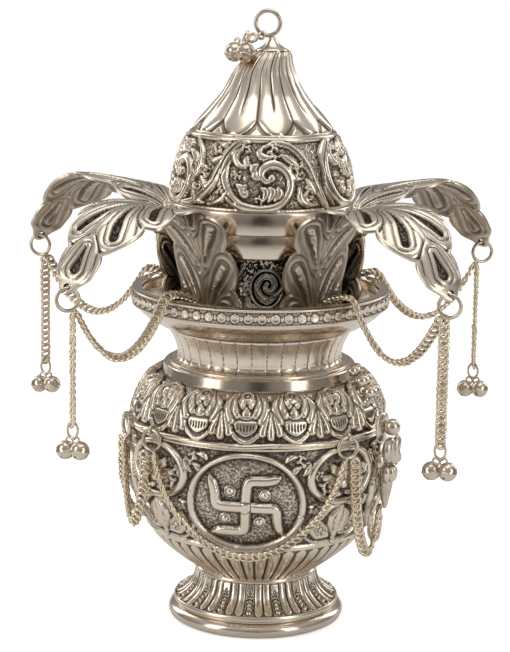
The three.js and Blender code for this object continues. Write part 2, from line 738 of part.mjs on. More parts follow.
function makeBellPair() {
  const top = tasselBottom - seat;
  const centre = top - bellStem - bellRadius;
  const at = (x, z) => new THREE.Vector3(x, -tipHole.point.x, z);
  const apart = bellRadius * 0.95;
  const bells = [-apart, apart].map((x) => {
    return placed(new THREE.SphereGeometry(bellRadius, 8, 6).rotateX(Math.PI / 2), at(x, centre));
  });
  const stem = [at(0, top), at(0, top - bellStem * 0.7), at(0, centre)];
  return joined([rod(stem, [0.35, 1.1, 1.1]), ...bells]);
}

// The swag chain leaves the ring, sags, climbs over the rim's lip and ends against the leaf's back. Its
// flat side lies on the lip.
const swagRootHeight = rimTop - 1.6;

function makeSwag() {
  const away = tipRingRadius + ringWire + seat + linkThickness / 2;
  const start = new THREE.Vector2(tipHole.point.x - away * 0.64, tipRingHeight - away * 0.77);
  const overLip = rimTop + lipClearance + linkThickness / 2;
  const outer = new THREE.Vector2(rimRadius + 2.2, overLip - 0.8);
  const points = [];
  const steps = 8;
  for (let i = 0; i < steps; i++) {
    const t = i / steps;
    const p = start.clone().lerp(outer, t);
    points.push([p.x, p.y - 4 * swagSag * t * (1 - t)]);
  }
  const back = leafRootRadius + leafSheet / 2 + seat;
  points.push([outer.x, outer.y], [rimRadius - 1, overLip], [rimRadius - lipWidth - 1.5, overLip]);
  points.push([back + (rimRadius - lipWidth - back) * 0.45, overLip - 1.7], [back + 0.4, swagRootHeight]);
  const up = new THREE.Vector3(0, 0, 1);
  return chain(points.map(([r, z]) => new THREE.Vector3(0, -r, z)), up, 3);
}

function makeSpray() {
  const top = neckTop + leafRingStand;
  const bottom = funnelHeight(leafRingOutside + seat * 1.3);
  add('leaf_ring', turned([
    [leafRingInside, bottom], [leafRingOutside, bottom], [leafRingOutside, top], [leafRingInside, top],
  ], 40), silver);
  leafAzimuths.forEach((azimuth, i) => {
    const turn = (geometry) => closed(geometry.rotateZ(radians(azimuth)));
    add(`leaf_${i + 1}`, turn(makeLeaf()), silver);
    add(`tip_ring_${i + 1}`, turn(makeTipRing()), wireMetal);
    add(`swag_chain_${i + 1}`, turn(makeSwag()), chainMetal);
    add(`tassel_chain_${i + 1}`, turn(makeTassel()), chainMetal);
    add(`tassel_bells_${i + 1}`, turn(makeBellPair()), wireMetal);
  });
}

// A garland hangs between two hangers. Its ends stop short of the rings, and below the belly it hangs
// a little clear of the bowl.
const ringDrop = hangerRingRadius * 2;
const chainStart = ringDrop + ringWire + seat + linkThickness / 2;

function makeGarland(from, to, depth, hangOut, sideEnd) {
  const span = Math.abs(to - from);
  const way = Math.sign(to - from);
  const reach = (turn, z) => {
    const away = linkThickness / 2 + seat + reliefStand;
    const bowl = bowlRadius(z) + away;
    const widest = Math.max(bellyRadius + away, pinRadius);
    return z < bowlBottom + bowlHeight * bellyShare ? bowl + (widest - bowl) * hangOut : Math.max(bowl, widest);
  };
  const step = THREE.MathUtils.radToDeg((chainStart * 0.42) / pinRadius);
  const starts = wireHeight - chainStart;
  const ends = sideEnd ?? starts;
  const first = from + way * step;
  const last = to - way * (sideEnd ? pendantEndTurn : step);
  const points = [];
  const steps = Math.max(10, Math.round(span / 6));
  for (let i = 0; i <= steps; i++) {
    const t = i / steps;
    const even = (first + (last - first) * (0.5 - 0.5 * Math.cos(Math.PI * t)) * 0.55 + (last - first) * t * 0.45);
    const sag = Math.pow(Math.sin(Math.PI * t), span > 60 ? 1.0 : 0.9);
    const z = starts + (ends - starts) * t - depth * sag * (sideEnd ? 1 - 0.35 * t : 1);
    points.push(around(reach(even, z), frontTurn + even, z));
  }
  return chain(points, (p) => new THREE.Vector3(p.x, p.y, 0).normalize(), 3);
}

const pendantTop = bowlTop - 3.5;
const pendantBottom = pendantTop - pendantLength;
const pendantRadius = wireOutside + seat + pendantThickness / 2;
const pendantEndTurn = 1.9;

function makeGarlands() {
  for (const [name, turn] of Object.entries(hangerTurns)) {
    const ring = new THREE.TorusGeometry(hangerRingRadius, ringWire, wireSides, ringSteps);
    ring.rotateX(Math.PI / 2);
    ring.translate(0, -pinRadius, wireHeight - hangerRingRadius);
    add(`hanger_ring_${name}`, closed(ring.rotateZ(radians(frontTurn + turn))), wireMetal);
  }
  const { left, right, back_right: backRight, back_left: backLeft, far_left: farLeft } = hangerTurns;
  const taperEnd = pendantBottom - seat;
  add('garland_front', makeGarland(left, right, wideSwagDepth, 0.25), chainMetal);
  add('garland_left_loop', makeGarland(farLeft, left, leftLoopDepth, 1), chainMetal);
  add('garland_right_loop', makeGarland(right, pendantTurn, rightLoopDepth, 1, taperEnd), chainMetal);
  add('garland_back', makeGarland(backRight, backLeft + 360, wideSwagDepth, 0.25), chainMetal);
  add('garland_back_left', makeGarland(backLeft, farLeft, sideSwagDepth, 0.4), chainMetal);
  add('garland_back_right', makeGarland(backRight, pendantTurn, sideSwagDepth, 0.4, taperEnd), chainMetal);
}

// The side pendant is a cast cluster: buds and a leaf on one stem, ending in a taper. It hangs from a
// bracket on the shoulder, and the belly holds it out.
function makePendant() {
  const bracketZ = bowlTop - bracketHeight / 2 - 1;
  const bracketR = bowlRadius(bracketZ - bracketHeight / 2) + seat;
  const bracket = new THREE.BoxGeometry(bracketWidth, bracketDepth, bracketHeight);
  bracket.translate(0, -(bracketR + bracketDepth / 2), bracketZ);
  add('side_bracket', closed(bracket.rotateZ(radians(frontTurn + pendantTurn))), silver);

  const at = (across, out, share) => {
    return new THREE.Vector3(across, -(pendantRadius + out), pendantTop - share * pendantLength);
  };
  const stemRadius = 1.1;
  const hang = bracketR + bracketDepth + seat + stemRadius - pendantRadius;
  const stem = rod([at(0, hang, 0), at(0, 0, 0.16), at(0, 0, 0.7)], [stemRadius, stemRadius, stemRadius]);
  const taper = lofted([[0.68, 3.2], [0.8, 2.9], [0.94, 1.9], [1, 1.2]].map(([share, radius]) => {
    return [0, 1, 2, 3, 4, 5].map((i) => at(radius * Math.cos(i * Math.PI / 3), radius * Math.sin(i * Math.PI / 3), share));
  }));
  const half = pendantThickness / 2;
  const masses = [
    [at(-1.4, 0, 0.34), [pendantWidth * 0.3, half * 0.8, 5.4]],
    [at(2.4, 0, 0.31), [3.3, half, 3.6]],
    [at(1.2, 0, 0.48), [pendantWidth * 0.5, half, 4.6]],
    [at(-2.2, 0.6, 0.55), [2.1, 2.1, 3.0]],
    [at(0.4, 0, 0.66), [3.9, half, 3.9]],
  ].map(([centre, [x, y, z]]) => placed(new THREE.SphereGeometry(1, 8, 6).rotateX(Math.PI / 2).scale(x, y, z), centre));
  const pendant = joined([stem, taper, ...masses]);
  add('side_pendant', closed(pendant.rotateZ(radians(frontTurn + pendantTurn))), silver);
}

makeFoot();
makeBowl();
makeBellyWire();
makeNeck();
makeCoconut();
makeFinial();
makeSpray();
makeGarlands();
makePendant();

export default kalash;
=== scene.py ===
# %% [markdown]
# An antiqued silver kalash: a footed ritual water pot with a wide rim. Five mango leaves stand in its
# mouth, a metal coconut sits on top, and bell tassels and chain garlands hang round it.
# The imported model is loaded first. It holds every piece at its real size and place, in metres.
# %% Load the frame
import math
import bpy
import numpy as np
from mathutils import Matrix, Vector


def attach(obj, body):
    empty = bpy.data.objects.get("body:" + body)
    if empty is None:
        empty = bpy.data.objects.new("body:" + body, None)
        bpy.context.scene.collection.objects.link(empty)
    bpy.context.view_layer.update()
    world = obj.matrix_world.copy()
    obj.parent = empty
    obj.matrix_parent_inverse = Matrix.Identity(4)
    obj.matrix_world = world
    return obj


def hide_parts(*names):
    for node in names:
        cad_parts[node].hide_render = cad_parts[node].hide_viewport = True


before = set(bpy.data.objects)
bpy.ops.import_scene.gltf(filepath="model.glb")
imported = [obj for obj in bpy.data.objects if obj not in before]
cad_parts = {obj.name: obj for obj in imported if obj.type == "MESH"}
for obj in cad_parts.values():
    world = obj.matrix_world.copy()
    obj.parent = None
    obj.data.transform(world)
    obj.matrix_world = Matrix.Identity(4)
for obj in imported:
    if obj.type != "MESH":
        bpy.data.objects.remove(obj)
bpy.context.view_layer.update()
MM = 0.001

# %% [markdown]
# The camera stands in front of the pot, a little above its middle, and looks slightly down. A long lens
# keeps the upright lines nearly parallel, as in a product picture.
# %% Camera
FRAME_WIDTH, FRAME_HEIGHT = 510, 652
camera_distance, camera_height = 849.66 * MM, 293.8 * MM
camera_pitch, camera_roll = 0.2017, 0.0163
focal_pixels, axis_pixel = 2158.94, 260.02

camera_data = bpy.data.cameras.new("camera")
camera_data.sensor_width = 36
camera_data.lens = focal_pixels * camera_data.sensor_width / FRAME_HEIGHT
camera_data.shift_x = -(axis_pixel - FRAME_WIDTH / 2) / FRAME_HEIGHT
camera_data.clip_start = 0.05
camera = bpy.data.objects.new("camera", camera_data)
bpy.context.scene.collection.objects.link(camera)
camera.location = (0, -camera_distance, camera_height)
tilt = Matrix.Rotation(math.pi / 2 - camera_pitch, 3, "X")
camera.rotation_euler = (tilt @ Matrix.Rotation(camera_roll, 3, "Z")).to_euler()
bpy.context.scene.camera = camera
print("lens", round(camera_data.lens, 1))

# %% [markdown]
# Silver reproduces whatever stands round it, so the studio matters as much as the metal. Two tall soft
# lamps at the sides draw long highlights, one lamp overhead lights the shoulders, and the world stays a
# middle grey so that the curves turn darker between the lamps. The camera sees a white backdrop.
# %% Floor, lamps and world
floor_lift, room_strength = 0.6, 0.55
white = (1, 1, 1, 1)


def node(tree, kind, **values):
    made = tree.nodes.new(kind)
    for key, value in values.items():
        if key in made.inputs:
            made.inputs[key].default_value = value
        else:
            setattr(made, key, value)
    return made


def wire(tree, *pairs):
    for source, target in pairs:
        tree.links.new(source, target)


bpy.ops.mesh.primitive_circle_add(vertices=96, radius=1.6, fill_type="NGON", location=(0, 0, -0.0001))
floor = bpy.context.object
floor.name = "floor"
floor_material = bpy.data.materials.new("white_floor")
floor_material.use_nodes = True
tree = floor_material.node_tree
shader = tree.nodes["Principled BSDF"]
shader.inputs["Base Color"].default_value = (0.93, 0.93, 0.93, 1)
shader.inputs["Roughness"].default_value = 0.5
glow = node(tree, "ShaderNodeEmission", Color=white)
both = node(tree, "ShaderNodeAddShader")
seen = node(tree, "ShaderNodeLightPath")
lift = node(tree, "ShaderNodeMath", operation="MULTIPLY")
lift.inputs[1].default_value = floor_lift
wire(tree, (seen.outputs["Is Camera Ray"], lift.inputs[0]), (lift.outputs[0], glow.inputs["Strength"]),
     (shader.outputs[0], both.inputs[0]), (glow.outputs[0], both.inputs[1]),
     (both.outputs[0], tree.nodes["Material Output"].inputs[0]))
floor.data.materials.append(floor_material)

# The room is dark below, pale above, and darkest straight behind the camera.
world = bpy.data.worlds.new("studio")
bpy.context.scene.world = world
world.use_nodes = True
tree = world.node_tree
room = tree.nodes["Background"]
room.inputs["Strength"].default_value = room_strength
direction = node(tree, "ShaderNodeTexCoord")
split = node(tree, "ShaderNodeSeparateXYZ")
ramp = node(tree, "ShaderNodeValToRGB")
low, high = ramp.color_ramp.elements
low.position, high.position = 0.0, 0.8
low.color, high.color = (0.34, 0.31, 0.28, 1), (0.9, 0.9, 0.9, 1)
front = node(tree, "ShaderNodeMapRange", interpolation_type="SMOOTHSTEP")
front.inputs["From Min"].default_value = -0.955
front.inputs["From Max"].default_value = -0.99
dark_front = node(tree, "ShaderNodeMix", data_type="RGBA")
dark_front.inputs[7].default_value = (0.06, 0.045, 0.035, 1)
backdrop = node(tree, "ShaderNodeBackground", Color=white)
seen = node(tree, "ShaderNodeLightPath")
choose = node(tree, "ShaderNodeMixShader")
wire(tree, (direction.outputs["Generated"], split.inputs[0]), (split.outputs["Z"], ramp.inputs[0]),
     (split.outputs["Y"], front.inputs["Value"]), (front.outputs[0], dark_front.inputs[0]),
     (ramp.outputs[0], dark_front.inputs[6]), (dark_front.outputs[2], room.inputs["Color"]),
     (seen.outputs["Is Camera Ray"], choose.inputs[0]), (room.outputs[0], choose.inputs[1]),
     (backdrop.outputs[0], choose.inputs[2]), (choose.outputs[0], tree.nodes["World Output"].inputs[0]))
bpy.context.scene.view_settings.view_transform = "Standard"


def soft_lamp(name, place, size, watts, tint=(1, 1, 1)):
    data = bpy.data.lights.new(name, "AREA")
    data.shape = "RECTANGLE"
    data.size, data.size_y = size
    data.energy = watts
    data.color = tint
    lamp = bpy.data.objects.new(name, data)
    bpy.context.scene.collection.objects.link(lamp)
    lamp.location = place
    aim = Vector((0, 0, 0.13)) - Vector(place)
    lamp.rotation_euler = aim.to_track_quat("-Z", "Y").to_euler()


soft_lamp("left_softbox", (-0.75, -0.5, 0.42), (0.35, 0.8), 2.1, (1.0, 0.98, 0.95))
soft_lamp("right_softbox", (0.7, -0.65, 0.4), (0.3, 0.7), 1.7, (1.0, 0.99, 0.97))
soft_lamp("top_softbox", (0.05, -0.1, 0.95), (0.7, 0.6), 1.7)
soft_lamp("back_strip_left", (-0.55, 0.5, 0.45), (0.25, 0.7), 1.2)
soft_lamp("back_strip_right", (0.6, 0.5, 0.45), (0.25, 0.7), 1.2)

# %% [markdown]
# The finish is silver plate that was blackened and rubbed back, so the high metal is bright and every
# hollow stays dark. Each chased piece stores that as a number at its points, called patina_and_shade; at
# the top of the neck it also holds painted shadow under the dish. The material turns it into colour and
# roughness, and adds fine scratches, stains and a warm tarnish.
# %% Silver
def ramp_node(tree, source, stops):
    made = tree.nodes.new("ShaderNodeValToRGB")
    tree.links.new(source, made.inputs[0])
    elements = made.color_ramp.elements
    while len(elements) < len(stops):
        elements.new(0.5)
    for element, (position, colour) in zip(elements, stops):
        element.position = position
        element.color = (*colour, 1) if len(colour) == 3 else colour
    return made.outputs[0]


def blend_colours(tree, share, low, high):
    made = node(tree, "ShaderNodeMix", data_type="RGBA")
    colour_inputs = [s for s in made.inputs if s.type == "RGBA"]
    factor = [s for s in made.inputs if s.type == "VALUE"][0]
    for socket, value in ((factor, share), (colour_inputs[0], low), (colour_inputs[1], high)):
        if isinstance(value, bpy.types.NodeSocket):
            tree.links.new(value, socket)
        else:
            socket.default_value = (*value, 1)
    return [s for s in made.outputs if s.type == "RGBA"][0]


def silver(name, bright, tarnish, dark, rough, chased=True, stain=0.25, grain=0.12, back=None):
    material = bpy.data.materials.new(name)
    material.use_nodes = True
    tree = material.node_tree
    shader = tree.nodes["Principled BSDF"]
    shader.inputs["Metallic"].default_value = 1.0
    clouds = node(tree, "ShaderNodeTexNoise", Scale=70.0, Detail=5.0, Roughness=0.6)
    specks = node(tree, "ShaderNodeTexNoise", Scale=900.0, Detail=2.0)
    waves = node(tree, "ShaderNodeTexNoise", Scale=160.0, Detail=3.0)
    place = node(tree, "ShaderNodeTexCoord").outputs["Object"]
    wire(tree, *((place, texture.inputs["Vector"]) for texture in (clouds, specks, waves)))
    cloud_share = ramp_node(tree, clouds.outputs["Fac"], [(0.42, (0, 0, 0)), (0.72, (stain,) * 3)])
    metal = blend_colours(tree, cloud_share, bright, tarnish)
    share, low, high = clouds.outputs["Fac"], max(0.05, rough - 0.06), rough + 0.1
    if chased:
        patina_and_shade = node(tree, "ShaderNodeAttribute", attribute_name="patina_and_shade").outputs["Fac"]
        share = ramp_node(tree, patina_and_shade, [(0.0, (0, 0, 0)), (0.34, (0.32,) * 3), (0.66, (1, 1, 1))])
        if back:
            top = node(tree, "ShaderNodeAttribute", attribute_name="top").outputs["Fac"]
            metal = blend_colours(tree, top, back, metal)
        metal = blend_colours(tree, share, dark, metal)
        low, high = min(1.0, rough + 0.3), rough
    roughness = node(tree, "ShaderNodeMapRange")
    roughness.inputs["To Min"].default_value, roughness.inputs["To Max"].default_value = low, high
    hammered = node(tree, "ShaderNodeBump", Strength=grain, Distance=0.0006)
    scratched = node(tree, "ShaderNodeBump", Strength=grain * 0.6, Distance=0.00015)
    wire(tree, (share, roughness.inputs["Value"]), (roughness.outputs[0], shader.inputs["Roughness"]),
         (metal, shader.inputs["Base Color"]), (waves.outputs["Fac"], hammered.inputs["Height"]),
         (specks.outputs["Fac"], scratched.inputs["Height"]),
         (hammered.outputs[0], scratched.inputs["Normal"]),
         (scratched.outputs[0], shader.inputs["Normal"]))
    return material


BRIGHT = (0.82, 0.725, 0.61)
WARM = (0.56, 0.42, 0.29)
SOOT = (0.075, 0.06, 0.045)
chased_silver = silver("chased_silver", BRIGHT, WARM, SOOT, 0.24)
plain_silver = silver("plain_silver", (0.76, 0.675, 0.57), WARM, SOOT, 0.16, chased=False, grain=0.10)
brushed_silver = silver("brushed_silver", (0.66, 0.60, 0.52), (0.36, 0.30, 0.24), SOOT, 0.36,
                        chased=False, stain=0.6)
black_silver = silver("black_silver", (0.46, 0.42, 0.36), (0.16, 0.14, 0.12), (0.008, 0.007, 0.006), 0.30,
                      stain=0.6)
# Near-black painted shade: its pieces carry no chased values, so it shows its darkest colour all over. It
# is used for the dark line under the dish and for the insides of the lid and the foot.
painted_shade_silver = silver("painted_shade_silver", (0.50, 0.44, 0.36), (0.30, 0.24, 0.18), (0.04, 0.035, 0.03), 0.38,
                   stain=0.6)
chain_metal = silver("chain_metal", (0.88, 0.77, 0.60), (0.52, 0.41, 0.28), SOOT, 0.2, chased=False,
                     stain=0.6)
ring_metal = silver("ring_metal", (0.72, 0.63, 0.52), (0.32, 0.25, 0.18), SOOT, 0.22, chased=False,
                    stain=0.7)
bell_metal = silver("bell_metal", (0.70, 0.61, 0.49), (0.38, 0.30, 0.22), SOOT, 0.2, chased=False,
                    stain=0.6)
print("finishes", [m.name for m in bpy.data.materials if m.users or m.use_nodes])

# %% [markdown]
# The pot is sheet metal, chased from the front: the craftsman works a pattern into the flat sheet with
# punches, and the sheet goes round the body. The script works in the same order. A flat grid is the
# sheet, punches raise and sink its points, and the grid is then rolled on the body's profile. Moving
# every point by hand would take days, so here the punches are small functions.
# %% Punches
def round_top(distance, half_width):
    return np.sqrt(np.clip(1 - (distance / half_width) ** 2, 0, 1))


def near(distance, width):
    return np.clip(1 - np.abs(distance) / width, 0, 1)


def rise(low, high, value):
    t = np.clip((value - low) / (high - low), 0, 1)
    return t * t * (3 - 2 * t)


def spiral(cx, cy, r_start, r_end, start, end):
    t = np.linspace(0, 1, 24)
    a = np.radians(start + (end - start) * t)
    r = r_start + (r_end - r_start) * t ** 0.8
    return list(zip(cx + r * np.cos(a), cy + r * np.sin(a)))


def through(points, steps):
    """A smooth line through the points."""
    p = np.vstack([2 * points[0] - points[1], points, 2 * points[-1] - points[-2]])
    out = []
    for a, b, c, d in zip(p, p[1:], p[2:], p[3:]):
        for t in np.arange(steps) / steps:
            bend = (2 * a - 5 * b + 4 * c - d) * t ** 2 + (3 * b - a - 3 * c + d) * t ** 3
            out.append(0.5 * (2 * b + (c - a) * t + bend))
    return np.vstack(out + [p[-2]])


def curved(points):
    """Strokes of three points or more are drawn as smooth lines. Long ones are smooth already."""
    p = np.asarray(points, float)
    return through(p, 5) if 3 <= len(p) <= 18 else p


def mirrored(points):
    return [(-x, y) for x, y in points]


class Sheet:
    """A sheet under the punches: where each point is in millimetres, how high it stands, how dark it is."""

    def __init__(self, x, y, seed=1):
        self.x, self.y = x, y
        self.height = np.zeros_like(x)
        self.ink = np.zeros_like(x)
        self.noise = np.random.default_rng(seed)

    def inside(self, points, widths, reach=2.0):
        """How far inside a tapering stroke each point is, and the stroke's half width there."""
        x, points = self.x, curved(points)
        widths = np.interp(np.linspace(0, 1, len(points)), np.linspace(0, 1, len(widths)), widths)
        best = np.full(x.shape, -99.0)
        wide = np.full(x.shape, 1.0)
        reach += widths.max()
        low, high = points.min(0) - reach, points.max(0) + reach
        box = np.where((x > low[0]) & (x < high[0]) & (self.y > low[1]) & (self.y < high[1]))
        px, py = x[box], self.y[box]
        found, found_wide = best[box], wide[box]
        for (x0, y0), (x1, y1), w0, w1 in zip(points, points[1:], widths, widths[1:]):
            dx, dy = x1 - x0, y1 - y0
            t = np.clip(((px - x0) * dx + (py - y0) * dy) / (dx * dx + dy * dy + 1e-9), 0, 1)
            w = w0 + (w1 - w0) * t
            s = w - np.hypot(px - x0 - t * dx, py - y0 - t * dy)
            better = s > found
            found = np.where(better, s, found)
            found_wide = np.where(better, w, found_wide)
        best[box], wide[box] = found, found_wide
        return best, wide

    def raise_stroke(self, points, widths, height, outline=0.3, flat=1.0):
        s, w = self.inside(points, widths)
        top = height * np.sqrt(np.clip(1 - (np.clip(1 - s / w, 0, 1)) ** (2 * flat), 0, 1))
        self.lift(s > 0, top)
        edge = near(s + 0.16, outline)
        self.height -= 0.3 * edge * (s <= 0)
        self.ink = np.maximum(self.ink * (1 - 0.9 * (s > 0.1)), 0.9 * edge * (s <= 0.05))

    def raise_oval(self, cx, cy, rx, ry, height, outline=0.3):
        d = np.hypot((self.x - cx) / rx, (self.y - cy) / ry)
        size = min(rx, ry)
        self.lift(d < 1, height * np.sqrt(np.clip(1 - d * d, 0, 1)))
        edge = near((d - 1) * size - 0.16, outline) * (d >= 1)
        self.height -= 0.3 * edge
        self.ink = np.maximum(self.ink * (1 - 0.9 * (d < 0.95)), 0.9 * edge)

    def dot(self, cx, cy, radius, depth=0.5):
        d = np.hypot(self.x - cx, self.y - cy)
        hole = rise(radius * 1.2, radius * 0.6, d)
        self.height -= depth * hole
        self.darken(hole)

    def line(self, points, half_width=0.22, depth=0.3, strength=0.9):
        s, _ = self.inside(points, [half_width])
        cut = np.clip(1 + s / half_width, 0, 1)
        self.height -= depth * cut
        self.darken(strength * cut)

    def set_height(self, where, value):
        self.height = np.where(where, value, self.height)

    def lift(self, where, value):
        self.set_height(where, np.maximum(self.height, value))

    def set_ink(self, where, value):
        self.ink = np.where(where, value, self.ink)

    def darken(self, ink):
        self.ink = np.maximum(self.ink, ink)

    def stipple(self, where, depth=0.35, ink=0.55):
        pits = self.noise.random(self.height.shape)
        pits = (2 * pits + np.roll(pits, 1, 0) + np.roll(pits, 1, 1)) / 4
        pits = np.clip((pits - 0.3) * 2.4, 0, 1)
        self.height -= depth * pits * where
        self.darken(ink * (0.55 + 0.45 * pits) * where)


def blurred(field, sigma_u, sigma_v, wraps=True):
    pad = int(4 * sigma_v) + 1
    tall = np.pad(field, ((pad, pad), (0, 0)), mode="edge")
    wide = 0 if wraps else int(4 * sigma_u) + 1
    tall = np.pad(tall, ((0, 0), (wide, wide)), mode="edge")
    fu = np.fft.fftfreq(tall.shape[1])
    fv = np.fft.fftfreq(tall.shape[0])
    soft = np.exp(-2 * (np.pi ** 2) * ((fu[None, :] * sigma_u) ** 2 + (fv[:, None] * sigma_v) ** 2))
    out = np.fft.ifft2(np.fft.fft2(tall) * soft).real
    return out[pad:-pad, wide:tall.shape[1] - wide]


def patina_of(height, ink, pitch_u, pitch_v, wraps=True):
    """Bright where the sheet stands above what is round it, dark in hollows, outlines and painted shade."""
    broad = height - blurred(height, 1.6 / pitch_u, 1.6 / pitch_v, wraps)
    fine = height - blurred(height, 0.55 / pitch_u, 0.55 / pitch_v, wraps)
    return np.clip(0.70 + 0.42 * broad + 0.75 * fine - 0.72 * ink, 0, 1)


# %% [markdown]
# A profile is drawn as a few points, radius and height, and a smooth curve is laid through them. The
# sheet's upright lines follow that curve, evenly spaced along it.
# %% Profiles and sheets
def run_along(points):
    """The distance along a line at each of its points."""
    return np.concatenate([[0], np.cumsum(np.linalg.norm(np.diff(points, axis=0), axis=1))])


def smooth_profile(points, count=240):
    p = np.asarray(points, float)
    s = run_along(p)
    slope = np.gradient(p, s, axis=0)
    t = np.linspace(0, s[-1], count)
    k = np.clip(np.searchsorted(s, t, side="right") - 1, 0, len(s) - 2)
    span = (s[k + 1] - s[k])[:, None]
    u = (t - s[k])[:, None] / span
    return ((2 * u**3 - 3 * u**2 + 1) * p[k] + (u**3 - 2 * u**2 + u) * span * slope[k]
            + (-2 * u**3 + 3 * u**2) * p[k + 1] + (u**3 - u**2) * span * slope[k + 1])


def cut_profile(curve, low, high):
    """The stretch of a curve between two heights."""
    keep = curve[(curve[:, 1] > low) & (curve[:, 1] < high)]
    ends = [[np.interp(z, curve[:, 1], curve[:, 0]), z] for z in (low, high)]
    return np.vstack([ends[0], keep, ends[1]])


def select_only(*pieces):
    for other in bpy.context.selected_objects:
        other.select_set(False)
    for piece in pieces:
        piece.select_set(True)
    if pieces:
        bpy.context.view_layer.objects.active = pieces[0]


def mesh_points(mesh):
    flat = np.empty(len(mesh.vertices) * 3)
    mesh.vertices.foreach_get("co", flat)
    return flat.reshape(-1, 3)


def flat_grid(across, up):
    """A flat grid, with the column and the row of each of its points."""
    select_only()
    bpy.ops.mesh.primitive_grid_add(x_subdivisions=across, y_subdivisions=up, size=2)
    piece = bpy.context.object
    flat = (mesh_points(piece.data) + 1) / 2
    return piece, np.rint(flat[:, 0] * across).astype(int), np.rint(flat[:, 1] * up).astype(int)


def weld(threshold, outward=True):
    """Joins points that coincide and, when outward is set, turns the faces outward."""
    bpy.ops.object.mode_set(mode="EDIT")
    bpy.ops.mesh.select_all(action="SELECT")
    bpy.ops.mesh.remove_doubles(threshold=threshold)
    if outward:
        bpy.ops.mesh.normals_make_consistent(inside=False)
    bpy.ops.object.mode_set(mode="OBJECT")


def cut_away(piece, drill):
    select_only(piece)
    cut = piece.modifiers.new("hole", "BOOLEAN")
    cut.object, cut.operation, cut.solver = drill, "DIFFERENCE", "EXACT"
    bpy.ops.object.modifier_apply(modifier=cut.name)
    bpy.data.objects.remove(drill, do_unlink=True)


def turned(degrees, axis="Z"):
    return Matrix.Rotation(math.radians(degrees), 4, axis)


def finish_piece(piece, name, body, material, replaced=()):
    piece.name = name
    piece.data.name = name
    piece.data.materials.clear()
    piece.data.materials.append(material)
    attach(piece, body)
    if replaced:
        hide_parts(*replaced)
    return piece


def join_into(name, parts, body, material, replaced=()):
    select_only(*parts)
    bpy.ops.object.join()
    bpy.ops.object.shade_smooth_by_angle(angle=math.radians(50))
    return finish_piece(bpy.context.object, name, body, material, replaced)


def chased_sheet(name, profile, around, up, punch, body="pot", material=chased_silver,
                 replaced=()):
    """Rolls a punched grid on a profile. punch(sheet, azimuth, radius) works in millimetres."""
    piece, i, j = flat_grid(around, up)
    mesh = piece.data
    s = run_along(profile)
    along = np.linspace(0, s[-1], up + 1)
    radius = np.interp(along, s, profile[:, 0])
    height = np.interp(along, s, profile[:, 1])
    slope_r, slope_z = np.gradient(radius, along), np.gradient(height, along)
    length = np.hypot(slope_r, slope_z)
    azimuths, ups = np.meshgrid(np.linspace(-180.0, 180.0, around + 1), along)
    radii = np.repeat(radius[:, None], around + 1, 1)
    sheet = Sheet(np.radians(azimuths) * radii, ups, seed=sum(map(ord, name)))
    punch(sheet, azimuths, radii)
    for field in (sheet.height, sheet.ink):
        field[:, -1] = field[:, 0]
    h = sheet.height
    out_r = radii + (slope_z / length)[:, None] * h
    out_z = height[:, None] + (-slope_r / length)[:, None] * h
    a = np.radians(azimuths)
    points = np.stack([out_r * np.sin(a), -out_r * np.cos(a), out_z], -1) * MM
    mesh.vertices.foreach_set("co", points[j, i].ravel())
    patina_and_shade = patina_of(h, sheet.ink, math.radians(360 / around) * radius.mean(), s[-1] / up)
    mesh.attributes.new("patina_and_shade", "FLOAT", "POINT").data.foreach_set("value", patina_and_shade[j, i].ravel())
    mesh.update()
    weld(1e-6, outward=False)
    bpy.ops.object.shade_smooth()
    print(name, "points", i.size, "tall", round(s[-1], 1), "mm, relief", h.min().round(2),
          h.max().round(2))
    return finish_piece(piece, name, body, material, replaced)


def fold(azimuth, count, start=0.0):
    """Turns a full circle into the same sector over and over, measured from its middle."""
    sector = 360.0 / count
    return (azimuth - start + sector / 2) % sector - sector / 2


def off_middle(azimuth, radius, count, start=0.0):
    """How far each point is from the middle of its sector, in millimetres round the metal."""
    return np.radians(fold(azimuth, count, start)) * radius


def turned_piece(name, profile, body, material, steps=96, replaced=(), smooth=40):
    """Spins an outline drawn as a row of points, the way a lathe or a spinning chuck shapes metal."""
    select_only()
    bpy.ops.mesh.primitive_plane_add(size=2)
    piece = bpy.context.object
    bpy.ops.object.mode_set(mode="EDIT")
    bpy.ops.mesh.select_all(action="SELECT")
    bpy.ops.mesh.merge(type="CENTER")
    bpy.ops.mesh.select_all(action="SELECT")
    places = [Vector((r * MM, 0, z * MM)) for r, z in profile]
    bpy.ops.transform.translate(value=places[0])
    for here, there in zip(places, places[1:]):
        bpy.ops.mesh.extrude_region_move(TRANSFORM_OT_translate={"value": there - here})
    bpy.ops.mesh.select_all(action="SELECT")
    bpy.ops.mesh.spin(steps=steps, angle=2 * math.pi, center=(0, 0, 0), axis=(0, 0, 1))
    weld(2e-6)
    bpy.ops.object.shade_smooth_by_angle(angle=math.radians(smooth))
    return finish_piece(piece, name, body, material, replaced)


